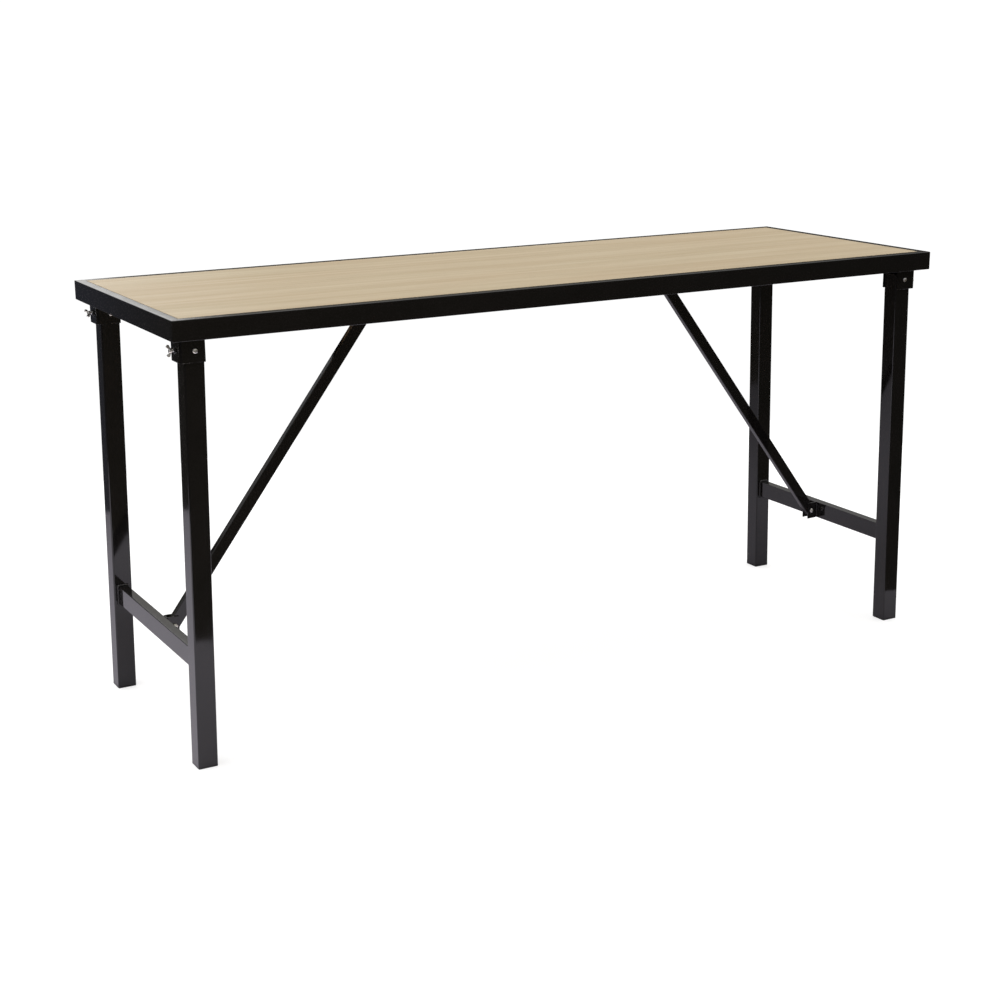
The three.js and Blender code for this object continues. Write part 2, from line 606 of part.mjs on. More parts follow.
function buildEnd(side) {
  const end = new THREE.Group();
  const legFrame = new THREE.Group();
  end.rotation.z = side === "right" ? 0 : Math.PI;
  legFrame.position.set(PIVOT_X, 0, PIVOT_Z);
  legFrame.rotation.y = -SPLAY;
  end.add(legFrame);
  table.add(end);
  buildLegs(end, legFrame, side);
  buildLowerJoint(legFrame, side);
  buildBrace(end, side);
}

buildRim();
buildPanel();
buildCrossMembers();
buildEnd("right");
buildEnd("left");

export default table;
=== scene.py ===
import json
import math

import bmesh
import bpy
from mathutils import Matrix, Vector


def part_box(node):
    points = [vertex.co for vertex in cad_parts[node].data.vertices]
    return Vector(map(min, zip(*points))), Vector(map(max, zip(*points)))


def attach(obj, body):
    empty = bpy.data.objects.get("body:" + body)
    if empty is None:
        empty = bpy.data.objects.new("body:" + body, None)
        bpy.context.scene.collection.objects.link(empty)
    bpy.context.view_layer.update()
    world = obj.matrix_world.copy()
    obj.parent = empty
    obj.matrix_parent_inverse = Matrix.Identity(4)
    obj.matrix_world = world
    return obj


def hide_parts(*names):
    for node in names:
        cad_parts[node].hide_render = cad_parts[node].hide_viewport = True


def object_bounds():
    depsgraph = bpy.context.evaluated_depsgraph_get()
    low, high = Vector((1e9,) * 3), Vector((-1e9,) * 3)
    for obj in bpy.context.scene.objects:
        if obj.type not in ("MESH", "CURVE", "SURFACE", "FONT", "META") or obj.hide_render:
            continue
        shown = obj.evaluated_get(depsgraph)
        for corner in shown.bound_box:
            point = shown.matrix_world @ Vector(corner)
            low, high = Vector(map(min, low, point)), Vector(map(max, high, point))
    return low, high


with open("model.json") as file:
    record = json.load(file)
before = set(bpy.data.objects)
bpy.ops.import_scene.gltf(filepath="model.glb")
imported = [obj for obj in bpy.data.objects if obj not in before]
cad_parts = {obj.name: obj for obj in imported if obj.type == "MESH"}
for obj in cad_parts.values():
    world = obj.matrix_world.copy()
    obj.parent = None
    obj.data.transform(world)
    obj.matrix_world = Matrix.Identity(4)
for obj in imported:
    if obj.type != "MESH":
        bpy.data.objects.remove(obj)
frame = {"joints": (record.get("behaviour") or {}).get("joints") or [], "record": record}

CAD_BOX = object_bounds()
MM = Matrix.Scale(0.001, 4)
SIDES = ("right", "left")
CORNERS = ("front_left", "back_left", "front_right", "back_right")
MEMBERS = ("outer_left", "inner_left", "inner_right", "outer_right")

# ---- Sizes in millimetres ----

TUBE_WALL = 1.5
RAIL_CORNER = 1.6
LEG_SIZE = 40.0
LEG_CORNER = 3.0
LEG_ABOVE_PIVOT = 12.0
FOOT_SPLAY = 15.0
FOOT_SOLE = 2.5
FOOT_PLUG_DEPTH = 18.0
FOOT_PLUG_WALL = 2.5
JOINT_GAP = 0.3
CROSSBAR_HEIGHT = 40.0
CROSSBAR_DEPTH = 20.0
MEMBER_WIDTH = 30.0
MEMBER_HEIGHT = 10.0
BRACE_DEPTH = 25.0
BRACE_WIDTH = 15.0
BRACKET_SHEET = 3.0
BRACKET_BEND = 5.0
FORK_SHEET = 2.5
FORK_BEND = 3.5
SHEET_EDGE = 0.35
# The bottom strip of each bracket, where bright steel dashes paint the edge's highlights.
RUBBED_HIGHLIGHT_STRIP = 0.9
CUT_EDGE = 0.25
BOARD_EDGE = 0.5
LAMINATE = 0.8

BOLT_RADIUS = 3.0
BOLT_HOLE = 3.25
BOLT_HEAD_RADIUS = 5.0
BOLT_HEAD_HEIGHT = 3.6
BOLT_HEAD_RIM = 1.1
THREAD_PITCH = 1.0
THREAD_DEPTH = 0.45
THREAD_PLAY = 0.1
LOWER_BOLT_THREAD = 12
PIVOT_BOLT_THREAD = 14
UPPER_BOLT_THREAD = 14
NUT_ACROSS_FLATS = 10.0
NUT_HEIGHT = 6.0
NUT_HEX_HEIGHT = 4.4
NUT_COLLAR_RADIUS = 4.3
WELD_NUT_HEIGHT = 3.0
WING_HUB_RADIUS = 5.0
WING_HUB_HEIGHT = 5.0
WING_SPAN = 23.0
WING_RISE = 9.5
WING_THICKNESS = 2.8
WING_LOBE = 3.4
WING_NECK = 2.3
WING_TURN = {"front_left": 12, "back_left": 58, "front_right": -35, "back_right": 24}
PANEL_SCREW_RADIUS = 2.0
PANEL_SCREW_HEAD_RADIUS = 4.0
PANEL_SCREW_HEAD_HEIGHT = 2.4
PANEL_SCREW_PITCH = 1.4

WELD_RADIUS = 3.0
WELD_STANDOFF = 1.0
WELD_RIPPLE = 2.4
SMALL_WELD_RADIUS = 1.7

ROUND_STEPS = 48
CORNER_STEPS = 6


# ---- Node trees and colours ----

def linear(hex_colour):
    """An sRGB hex colour as linear red, green, blue and alpha."""
    parts = [int(hex_colour[i:i + 2], 16) / 255 for i in (1, 3, 5)]
    return [p / 12.92 if p <= 0.04045 else ((p + 0.055) / 1.055) ** 2.4 for p in parts] + [1.0]


def node(tree, kind, inputs=None, stops=(), **settings):
    """Adds a node with its settings. An input is a value, a hex colour, a socket or a node to link from.

    Stops are the (position, hex colour or grey) pairs of a colour ramp.
    """
    made = tree.nodes.new(kind)
    for name, value in settings.items():
        setattr(made, name, value)
    for index, (position, colour) in enumerate(stops):
        points = made.color_ramp.elements
        point = points[index] if index < 2 else points.new(position)
        point.position = position
        point.color = linear(colour) if isinstance(colour, str) else (colour, colour, colour, 1)
    for key, value in (inputs or {}).items():
        if isinstance(value, bpy.types.Node):
            value = next(socket for socket in value.outputs if socket.enabled)
        if isinstance(value, bpy.types.NodeSocket):
            tree.links.new(value, made.inputs[key])
        else:
            is_colour = isinstance(value, str) and value.startswith("#")
            made.inputs[key].default_value = linear(value) if is_colour else value
    return made


def per_metre(millimetres):
    """The texture scale whose features are that many millimetres apart."""
    return 1000.0 / millimetres


def new_material(name):
    """An empty material, its node tree and the object's own coordinates in it."""
    material = bpy.data.materials.new(name)
    material.use_nodes = True
    tree = material.node_tree
    tree.nodes.clear()
    return material, tree, node(tree, "ShaderNodeTexCoord").outputs["Object"]


def surfaced(material, tree, inputs):
    """Closes a material with its Principled surface."""
    shader = node(tree, "ShaderNodeBsdfPrincipled", inputs)
    node(tree, "ShaderNodeOutputMaterial", {"Surface": shader})
    return material


# ---- Materials ----

def sprayed_gloss_enamel():
    """Black stoving enamel sprayed on mild steel: near-black, mirror-like with a faint orange peel."""
    material, tree, where = new_material("sprayed_gloss_black_enamel_on_steel")
    patches = node(tree, "ShaderNodeTexNoise", {"Vector": where, "Scale": per_metre(90), "Detail": 3.0})
    colour = node(tree, "ShaderNodeValToRGB", {"Fac": patches}, stops=((0.3, "#11100f"), (0.7, "#171514")))
    # Handling leaves faint cloudy smears, and a little fine dust settles in the film.
    smears = node(tree, "ShaderNodeTexNoise", {
        "Vector": where, "Scale": per_metre(45), "Detail": 4.0, "Distortion": 0.6})
    hazed = node(tree, "ShaderNodeMapRange", {
        "Value": smears, "From Min": 0.3, "From Max": 0.7, "To Min": 0.055, "To Max": 0.1})
    specks = node(tree, "ShaderNodeTexNoise", {"Vector": where, "Scale": per_metre(1.6), "Detail": 1.0})
    dust = node(tree, "ShaderNodeMapRange", {
        "Value": specks, "From Min": 0.7, "From Max": 0.8, "To Min": 0.0, "To Max": 0.03})
    rough = node(tree, "ShaderNodeMath", {0: hazed, 1: dust}, operation="ADD")
    # Drawn tube is never quite flat: long shallow waves under the orange peel of the spray.
    waves = node(tree, "ShaderNodeTexNoise", {"Vector": where, "Scale": per_metre(70), "Detail": 1.0})
    flatness = node(tree, "ShaderNodeBump", {"Height": waves, "Distance": 0.04 / 1000})
    peel = node(tree, "ShaderNodeTexNoise", {"Vector": where, "Scale": per_metre(4), "Detail": 1.0})
    skin_relief = node(tree, "ShaderNodeBump", {"Height": peel, "Distance": 0.001 / 1000, "Normal": flatness})
    return surfaced(material, tree, {"Base Color": colour, "Roughness": rough, "Normal": skin_relief})


def worn_edge_with_painted_highlights():
    """The same enamel on a sheared sheet edge, worn through to bright steel in short dashes: painted
    highlights, standing in for the light that the edge catches, as well as wear.
    """
    material, tree, where = new_material("rubbed_enamel_edge_with_painted_highlights")
    patches = node(tree, "ShaderNodeTexNoise", {"Vector": where, "Scale": per_metre(5), "Detail": 3.0})
    # Mask of the bright steel dashes: painted highlights along the edge as well as worn-through enamel.
    rubbed_highlight = node(tree, "ShaderNodeMapRange", {"Value": patches, "From Min": 0.54, "From Max": 0.62})
    colour = node(tree, "ShaderNodeMix", {0: rubbed_highlight, 6: "#121111", 7: "#96928c"}, data_type="RGBA")
    rough = node(tree, "ShaderNodeMapRange", {"Value": rubbed_highlight, "To Min": 0.15, "To Max": 0.5})
    scratches = node(tree, "ShaderNodeTexNoise", {"Vector": where, "Scale": per_metre(0.8), "Detail": 2.0})
    torn = node(tree, "ShaderNodeBump", {"Height": scratches, "Distance": 0.02 / 1000})
    return surfaced(material, tree, {
        "Base Color": colour, "Metallic": rubbed_highlight, "Roughness": rough, "Normal": torn})


def painted_weld():
    """Weld bead under the enamel: rounder, glossier and slightly spattered."""
    material, tree, where = new_material("gloss_black_enamel_over_weld_bead")
    crust = node(tree, "ShaderNodeTexNoise", {"Vector": where, "Scale": per_metre(2.5), "Detail": 3.0})
    colour = node(tree, "ShaderNodeValToRGB", {"Fac": crust}, stops=((0.3, "#100f0f"), (0.7, "#1d1b1a")))
    rough = node(tree, "ShaderNodeMapRange", {
        "Value": crust, "From Min": 0.3, "From Max": 0.7, "To Min": 0.05, "To Max": 0.16})
    spatter = node(tree, "ShaderNodeTexNoise", {"Vector": where, "Scale": per_metre(1.2), "Detail": 2.0})
    beaded = node(tree, "ShaderNodeBump", {"Height": spatter, "Distance": 0.05 / 1000})
    return surfaced(material, tree, {"Base Color": colour, "Roughness": rough, "Normal": beaded})


def oak_melamine():
    """Light oak printed melamine, pressed on board: straight pale grain with a satin, lightly pored face."""
    material, tree, where = new_material("pressed_light_oak_melamine")
    # The grain lines wander a little across the board.
    long_way = node(tree, "ShaderNodeMapping", {"Vector": where, "Scale": (0.33, 1, 1)})
    drift = node(tree, "ShaderNodeTexNoise", {"Vector": long_way, "Scale": per_metre(260), "Detail": 1.0})
    sway = node(tree, "ShaderNodeMapRange", {
        "Value": drift, "From Min": 0.3, "From Max": 0.7, "To Min": -0.012, "To Max": 0.012})
    bend = node(tree, "ShaderNodeCombineXYZ", {"Y": sway})
    grain = node(tree, "ShaderNodeVectorMath", {0: where, 1: bend}, operation="ADD")
    # Bands of heart and sap wood 20 to 60 mm wide, then growth lines, then fine fibres, all drawn
    # out along the board.
    drawn_14 = node(tree, "ShaderNodeMapping", {"Vector": grain, "Scale": (1 / 14, 1, 1)})
    drawn_30 = node(tree, "ShaderNodeMapping", {"Vector": grain, "Scale": (1 / 30, 1, 1)})
    bands = node(tree, "ShaderNodeTexNoise", {"Vector": drawn_14, "Scale": per_metre(52), "Detail": 2.0})
    rings = node(tree, "ShaderNodeTexNoise", {
        "Vector": drawn_30, "Scale": per_metre(17), "Detail": 3.0, "Distortion": 0.25})
    fibres = node(tree, "ShaderNodeTexNoise", {"Vector": drawn_30, "Scale": per_metre(3.2), "Detail": 3.0})
    # Real pores are 0.3 mm wide; they are drawn 0.9 mm wide so that they show.
    pits = node(tree, "ShaderNodeTexNoise", {"Vector": drawn_30, "Scale": per_metre(0.9), "Detail": 1.0})
    pores = node(tree, "ShaderNodeMapRange", {"Value": pits, "From Min": 0.62, "From Max": 0.74})
    pale = node(tree, "ShaderNodeValToRGB", {"Fac": bands}, stops=((0.36, "#a7987c"), (0.64, "#9d8d6f")))
    ring_share = node(tree, "ShaderNodeMapRange", {
        "Value": rings, "From Min": 0.42, "From Max": 0.66, "To Max": 0.26})
    ringed = node(tree, "ShaderNodeMix", {0: ring_share, 6: pale, 7: "#897656"}, data_type="RGBA")
    fibre_share = node(tree, "ShaderNodeMapRange", {
        "Value": fibres, "From Min": 0.4, "From Max": 0.68, "To Max": 0.2})
    fibred = node(tree, "ShaderNodeMix", {0: fibre_share, 6: ringed, 7: "#b8a98b"}, data_type="RGBA")
    pore_share = node(tree, "ShaderNodeMapRange", {"Value": pores, "To Max": 0.22})
    pored = node(tree, "ShaderNodeMix", {0: pore_share, 6: fibred, 7: "#756245"}, data_type="RGBA")
    # A few slightly redder clouds, as in any log.
    long_clouds = node(tree, "ShaderNodeMapping", {"Vector": grain, "Scale": (1 / 3, 1, 1)})
    clouds = node(tree, "ShaderNodeTexNoise", {"Vector": long_clouds, "Scale": per_metre(130)})
    cloud_share = node(tree, "ShaderNodeMapRange", {
        "Value": clouds, "From Min": 0.3, "From Max": 0.7, "To Max": 0.22})
    colour = node(tree, "ShaderNodeMix", {0: cloud_share, 6: pored, 7: "#a18767"}, data_type="RGBA")
    rough = node(tree, "ShaderNodeMapRange", {
        "Value": rings, "From Min": 0.3, "From Max": 0.7, "To Min": 0.42, "To Max": 0.54})
    pressed = node(tree, "ShaderNodeBump", {"Height": fibres, "Distance": 0.03 / 1000})
    pitted = node(tree, "ShaderNodeBump", {"Height": pores, "Distance": 0.04 / 1000, "Normal": pressed},
                  invert=True)
    return surfaced(material, tree, {"Base Color": colour, "Roughness": rough, "Normal": pitted})


def backing_paper():
    """Kraft balancing paper on the board's underside: plain, matt, light brown."""
    material, tree, where = new_material("kraft_balancing_paper")
    mottle = node(tree, "ShaderNodeTexNoise", {"Vector": where, "Scale": per_metre(14), "Detail": 5.0})
    colour = node(tree, "ShaderNodeValToRGB", {"Fac": mottle}, stops=((0.3, "#a0855f"), (0.7, "#af946d")))
    fibres = node(tree, "ShaderNodeTexNoise", {"Vector": where, "Scale": per_metre(0.9), "Detail": 2.0})
    felted = node(tree, "ShaderNodeBump", {"Height": fibres, "Distance": 0.015 / 1000})
    return surfaced(material, tree, {"Base Color": colour, "Roughness": 0.8, "Normal": felted})


def sawn_board_edge():
    """Sawn edge of chipboard: brown chips of mixed tones, rough."""
    material, tree, where = new_material("sawn_chipboard_edge")
    flat_chips = node(tree, "ShaderNodeMapping", {"Vector": where, "Scale": (0.5, 0.5, 1)})
    chips = node(tree, "ShaderNodeTexNoise", {"Vector": flat_chips, "Scale": per_metre(2.2), "Detail": 3.0})
    colour = node(tree, "ShaderNodeValToRGB", {"Fac": chips}, stops=((0.3, "#745c3e"), (0.7, "#ae9167")))
    torn = node(tree, "ShaderNodeBump", {"Height": chips, "Distance": 0.12 / 1000})
    return surfaced(material, tree, {"Base Color": colour, "Roughness": 0.85, "Normal": torn})


def bright_zinc():
    """Bright zinc plate on cold-formed steel: silvery, satin, with a faint warm and blue passivation."""
    material, tree, where = new_material("bright_zinc_plated_steel")
    film = node(tree, "ShaderNodeTexNoise", {"Vector": where, "Scale": per_metre(5), "Detail": 3.0})
    colour = node(tree, "ShaderNodeValToRGB", {"Fac": film}, stops=((0.3, "#dfe1e3"), (0.7, "#ece5d6")))
    grain = node(tree, "ShaderNodeTexNoise", {"Vector": where, "Scale": per_metre(2), "Detail": 3.0})
    rough = node(tree, "ShaderNodeMapRange", {
        "Value": grain, "From Min": 0.3, "From Max": 0.7, "To Min": 0.26, "To Max": 0.44})
    drawn = node(tree, "ShaderNodeTexNoise", {"Vector": where, "Scale": per_metre(0.7), "Detail": 2.0})
    formed = node(tree, "ShaderNodeBump", {"Height": drawn, "Distance": 0.008 / 1000})
    return surfaced(material, tree, {
        "Base Color": colour, "Metallic": 1.0, "Roughness": rough, "Normal": formed})


def moulded_plastic():
    """Black polyethylene, injection moulded against a spark-eroded tool: dull with a fine even grain."""
    material, tree, where = new_material("moulded_black_polyethylene")
    scuffs = node(tree, "ShaderNodeTexNoise", {"Vector": where, "Scale": per_metre(9), "Detail": 4.0})
    colour = node(tree, "ShaderNodeValToRGB", {"Fac": scuffs}, stops=((0.3, "#0f0f10"), (0.7, "#1a1a1b")))
    rough = node(tree, "ShaderNodeMapRange", {
        "Value": scuffs, "From Min": 0.3, "From Max": 0.7, "To Min": 0.42, "To Max": 0.6})
    sparks = node(tree, "ShaderNodeTexNoise", {"Vector": where, "Scale": per_metre(0.6), "Detail": 1.0})
    grained = node(tree, "ShaderNodeBump", {"Height": sparks, "Distance": 0.02 / 1000})
    return surfaced(material, tree, {"Base Color": colour, "Roughness": rough, "Normal": grained})


def nylon_insert():
    """Natural nylon locking ring: milky white, slightly waxy."""
    material, tree, where = new_material("turned_natural_nylon")
    cloud = node(tree, "ShaderNodeTexNoise", {"Vector": where, "Scale": per_metre(3), "Detail": 2.0})
    colour = node(tree, "ShaderNodeValToRGB", {"Fac": cloud}, stops=((0.3, "#d9d6c9"), (0.7, "#e4e1d6")))
    return surfaced(material, tree, {"Base Color": colour, "Roughness": 0.4})


def studio_paper():
    """Matt white paper floor, its colour darkened towards the back: painted shade for the dimmer studio
    there.
    """
    material, tree, where = new_material("matt_white_studio_paper")
    away = node(tree, "ShaderNodeVectorMath", {0: where, 1: (0.33, 0.94, 0)}, operation="DOT_PRODUCT")
    reach = node(tree, "ShaderNodeMapRange", {
        "Value": away.outputs["Value"], "From Min": -1.0, "From Max": 2.2})
    # Painted shade: the paper's colour darkens towards the back, where the studio light falls off.
    painted_falloff = node(tree, "ShaderNodeValToRGB", {"Fac": reach}, stops=(
        (0.15, "#ebe6f1"), (1.0, "#5a585c"), (0.33, "#c3bfc9"), (0.5, "#b0acb6"), (0.62, "#a09ca5"),
        (0.74, "#7d7a81")))
    paper = node(tree, "ShaderNodeBsdfDiffuse", {"Color": painted_falloff})
    # The camera sees the paper lit to white with only a soft shadow under the legs, while
    # reflections in the enamel see the paper with its painted shade towards the back.
    white = node(tree, "ShaderNodeBsdfDiffuse", {"Color": (0.42, 0.42, 0.42, 1)})
    lit = node(tree, "ShaderNodeEmission", {"Color": (0.64, 0.64, 0.64, 1)})
    seen = node(tree, "ShaderNodeAddShader", {0: white, 1: lit})
    straight = node(tree, "ShaderNodeLightPath").outputs["Is Camera Ray"]
    either = node(tree, "ShaderNodeMixShader", {0: straight, 1: paper, 2: seen})
    node(tree, "ShaderNodeOutputMaterial", {"Surface": either})
    return material


ENAMEL = sprayed_gloss_enamel()
WORN_HIGHLIGHT_EDGE = worn_edge_with_painted_highlights()
WELD = painted_weld()
OAK = oak_melamine()
BACKING = backing_paper()
SAWN_EDGE = sawn_board_edge()
ZINC = bright_zinc()
PLASTIC = moulded_plastic()
NYLON = nylon_insert()


# ---- Outlines: lists of (x, y) in millimetres, anticlockwise ----

def arc(x, y, radius, start, end, steps):
    """Points on an arc, in degrees, both ends included."""
    turns = [math.radians(start + (end - start) * i / steps) for i in range(steps + 1)]
    return [(x + radius * math.cos(t), y + radius * math.sin(t)) for t in turns]


def circle(radius, steps=ROUND_STEPS):
    return arc(0, 0, radius, 0, 360, steps)[:-1]


def rounded(width, height, corner):
    x, y = width / 2 - corner, height / 2 - corner
    return (arc(x, y, corner, 0, 90, CORNER_STEPS) + arc(-x, y, corner, 90, 180, CORNER_STEPS)
            + arc(-x, -y, corner, 180, 270, CORNER_STEPS) + arc(x, -y, corner, 270, 360, CORNER_STEPS))


def strip(start, end, radius, steps=16):
    """A strip with half-round ends between two points."""
    turn = math.degrees(math.atan2(end[1] - start[1], end[0] - start[0]))
    return (arc(*end, radius, turn - 90, turn + 90, steps)
            + arc(*start, radius, turn + 90, turn + 270, steps))


def channel_outline(reach, half_width, sheet, bend):
    """Folded channel: outer face of its web at x = 0, open side towards -x."""
    inner, tight = half_width - sheet, bend - sheet
    return ([(-reach, -half_width)] + arc(-bend, bend - half_width, bend, 270, 360, CORNER_STEPS)
            + arc(-bend, half_width - bend, bend, 0, 90, CORNER_STEPS) + [(-reach, half_width)]
            + [(-reach, inner)] + arc(-bend, inner - tight, tight, 90, 0, CORNER_STEPS)
            + arc(-bend, tight - inner, tight, 0, -90, CORNER_STEPS) + [(-reach, -inner)])


def drawn_in(outline, amount):
    """The outline moved inwards by an even amount."""
    moved = []
    for i, point in enumerate(outline):
        before = Vector(outline[i - 1])
        here = Vector(point)
        after = Vector(outline[(i + 1) % len(outline)])
        first = (here - before).normalized()
        second = (after - here).normalized()
        inwards = Vector((-first.y - second.y, first.x + second.x)) / (1 + first.dot(second))
        moved.append(tuple(here + amount * inwards))
    return moved


def at_height(outline, z):
    """The outline as 3D points; z is a height or a function of x and y."""
    return [(x, y, z(x, y) if callable(z) else z) for x, y in outline]


# ---- Solids ----

def skin(loops, closed=False):
    """A closed mesh through loops of equal length: capped at its ends, or joined round like a ring."""
    mesh = bmesh.new()
    rows = [[mesh.verts.new(p) for p in loop] for loop in loops]
    pairs = list(zip(rows, rows[1:])) + ([(rows[-1], rows[0])] if closed else [])
    for lower, upper in pairs:
        for i in range(len(lower)):
            j = (i + 1) % len(lower)
            mesh.faces.new((lower[i], lower[j], upper[j], upper[i]))
    if not closed:
        mesh.faces.new(list(reversed(rows[0])))
        mesh.faces.new(rows[-1])
    bmesh.ops.recalc_face_normals(mesh, faces=mesh.faces)
    return mesh


def prism(outline, low, high, edge=0.0, rings=()):
    """An outline pulled up from low to high, with its end edges eased and rings of points between."""
    if not edge:
        return skin([at_height(outline, low), at_height(outline, high)])
    eased = drawn_in(outline, edge)
    return skin([at_height(eased, low), at_height(outline, low + edge)]
                + [at_height(outline, z) for z in rings]
                + [at_height(outline, high - edge), at_height(eased, high)])


def open_tube(width, height, corner, low, high):
    """Tube with open, slightly eased ends; low and high may be functions of x and y."""
    def shifted(end, by):
        return (lambda x, y: end(x, y) + by) if callable(end) else end + by

    outer = rounded(width, height, corner)
    eased = rounded(width - 2 * CUT_EDGE, height - 2 * CUT_EDGE, corner - CUT_EDGE)
    bore = rounded(width - 2 * TUBE_WALL, height - 2 * TUBE_WALL, max(corner - TUBE_WALL, 0.4))
    return skin([at_height(eased, low), at_height(outer, shifted(low, CUT_EDGE)),
                 at_height(outer, shifted(high, -CUT_EDGE)), at_height(eased, high),
                 at_height(bore, high), at_height(bore, low)], closed=True)


def turned(mesh, matrix):
    mesh.transform(matrix)
    return mesh


def together(*meshes):
    """Several closed solids in one mesh."""
    whole = bmesh.new()
    for part in meshes:
        loose = bpy.data.meshes.new("part")
        part.to_mesh(loose)
        part.free()
        whole.from_mesh(loose)
        bpy.data.meshes.remove(loose)
    return whole


def loose_object(name, mesh):
    """A bmesh as an object in the scene."""
    data = bpy.data.meshes.new(name)
    mesh.to_mesh(data)
    mesh.free()
    made = bpy.data.objects.new(name, data)
    bpy.context.scene.collection.objects.link(made)
    return made


def evaluated_mesh(piece):
    bpy.context.view_layer.update()
    return bpy.data.meshes.new_from_object(piece.evaluated_get(bpy.context.evaluated_depsgraph_get()))


def settled(piece):
    """Applies the piece's modifiers to its mesh."""
    old = piece.data
    piece.data = evaluated_mesh(piece)
    piece.modifiers.clear()
    bpy.data.meshes.remove(old)
    return piece


def modified(piece, kind, **settings):
    modifier = piece.modifiers.new(kind.lower(), kind)
    for name, value in settings.items():
        setattr(modifier, name, value)
    return modifier


def carved(mesh, *cutters, operation="DIFFERENCE"):
    """The solid with each cutter taken out of it, or with what it shares with the cutter."""
    body = loose_object("carved", mesh)
    tools = [loose_object("cutter", cutter) for cutter in cutters]
    for tool in tools:
        modified(body, "BOOLEAN", operation=operation, object=tool, solver="EXACT")
    settled(body)
    result = bmesh.new()
    result.from_mesh(body.data)
    for done in [body, *tools]:
        data = done.data
        bpy.data.objects.remove(done)
        bpy.data.meshes.remove(data)
    return result


def hole_along_y(radius, length, x=0.0, z=0.0):
    return turned(prism(circle(radius), -length / 2, length / 2),
                  Matrix.Translation((x, 0, z)) @ Matrix.Rotation(math.pi / 2, 4, "X"))


def piece(name, mesh, matrix, body, slot, materials, replaces=(), sharp=38, finish=None):
    """Puts a solid in its place as a finished piece on its body.

    finish gives a face's material number from the face, in the piece's own axes."""
    made = loose_object(f"finished_{name}", mesh)
    for material in materials:
        made.data.materials.append(material)
    if finish:
        for polygon in made.data.polygons:
            polygon.material_index = finish(polygon)
    made.data.transform(matrix @ MM)
    made.data.shade_smooth()
    made.data.set_sharp_from_angle(angle=math.radians(sharp))
    modified(made, "WEIGHTED_NORMAL", keep_sharp=True)
    settled(made)
    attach(made, body)
    if replaces:
        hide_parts(*replaces)
    return made


# ---- Places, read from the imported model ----

JOINTS = {joint["name"]: joint for joint in frame["joints"]}
COUPLINGS = {coupling["joint"]: coupling for coupling in frame["record"]["behaviour"]["couplings"]}


def box_mm(name):
    low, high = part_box(name)
    return low * 1000, high * 1000


def middle(name):
    low, high = box_mm(name)
    return (low + high) / 2


def end_turn(side):
    """The left-hand end is the right-hand one turned half round."""
    return Matrix.Rotation(math.pi if side == "left" else 0.0, 4, "Z")


def side_of(corner):
    return corner.rsplit("_", 1)[1]


def place(x, y, z):
    """A move given in millimetres, in metres."""
    return Matrix.Translation(Vector((x, y, z)) / 1000)


def standing(along, inwards, x, y, z):
    """Axes with +Z along a direction and +Y inwards, at a point in millimetres."""
    along, inwards = Vector(along), Vector(inwards)
    turn = Matrix((inwards.cross(along), inwards, along)).transposed().to_4x4()
    return place(x, y, z) @ turn


PIVOT = Vector(JOINTS["leg_fold_right"]["pos_m"]) * 1000
LOWER = Vector(JOINTS["brace_swing_right"]["pos_m"]) * 1000
UPPER = middle("upper_bolt_right")
UPPER.y = LOWER.y
LEG_Y = abs(middle("leg_front_right").y)
SPLAY = math.atan(FOOT_SPLAY / PIVOT.z)
LEG_FRAME = place(*PIVOT) @ Matrix.Rotation(-SPLAY, 4, "Y")
LOWER_IN_LEG_FRAME = (LEG_FRAME.inverted() @ (LOWER / 1000)) * 1000
BRACE_RUN = LOWER.x - UPPER.x
BRACE_RISE = UPPER.z - LOWER.z
BRACE_LENGTH = math.hypot(BRACE_RUN, BRACE_RISE)
BRACE_TILT = math.atan2(BRACE_RISE, BRACE_RUN) - math.pi / 2
BRACE_TURN = COUPLINGS["brace_swing_right"]["ratio"] - 1
RELEASE_ANGLE = math.atan2(
    LOWER.x - PIVOT.x + BRACE_TURN * BRACE_RUN, PIVOT.z - LOWER.z + BRACE_TURN * BRACE_RISE)
FORK_LOW, FORK_HIGH = box_mm("upper_fork_right")
FORK_HALF_WIDTH = (FORK_HIGH.y - FORK_LOW.y) / 2


# ---- Rim, board and cross-members ----

def build_rim():
    """Four tubes with mitred corners, welded and ground so that only a fine seam is left."""
    seam = 0.04
    low, high = CAD_BOX[0] * 1000, CAD_BOX[1] * 1000
    rail_low, rail_high = box_mm("rail_front")
    tall, wide = rail_high.z - rail_low.z, rail_high.y - rail_low.y
    level = (rail_low.z + rail_high.z) / 2
    rails = {
        "rail_front": ((1, 0, 0), (0, 1, 0), (0, low.y), high.x),
        "rail_back": ((-1, 0, 0), (0, -1, 0), (0, high.y), high.x),
        "rail_left": ((0, -1, 0), (1, 0, 0), (low.x, 0), high.y),
        "rail_right": ((0, 1, 0), (-1, 0, 0), (high.x, 0), high.y),
    }
    for name, (along, inwards, outer, half) in rails.items():
        def mitre(x, y, half=half):
            return half - seam - (y + wide / 2)

        def other_mitre(x, y, half=half):
            return -mitre(x, y, half)

        tube = open_tube(tall, wide, RAIL_CORNER, other_mitre, mitre)
        matrix = standing(along, inwards, *outer, level) @ place(0, wide / 2, 0)
        piece(name, tube, matrix, "table_frame", "black_paint", [ENAMEL], [name])


def build_board():
    low, high = box_mm("top_panel")
    size, centre = high - low, (low + high) / 2
    outline = rounded(size.x, size.y, BOARD_EDGE)
    board = prism(outline, -size.z / 2, size.z / 2, edge=BOARD_EDGE)

    def finish(polygon):
        if polygon.center.z > size.z / 2 - LAMINATE:
            return 0
        return 1 if polygon.normal.z < -0.5 else 2

    piece("top_panel", board, place(*centre), "table_frame", "oak_laminate",
          [OAK, BACKING, SAWN_EDGE], ["top_panel"], finish=finish)


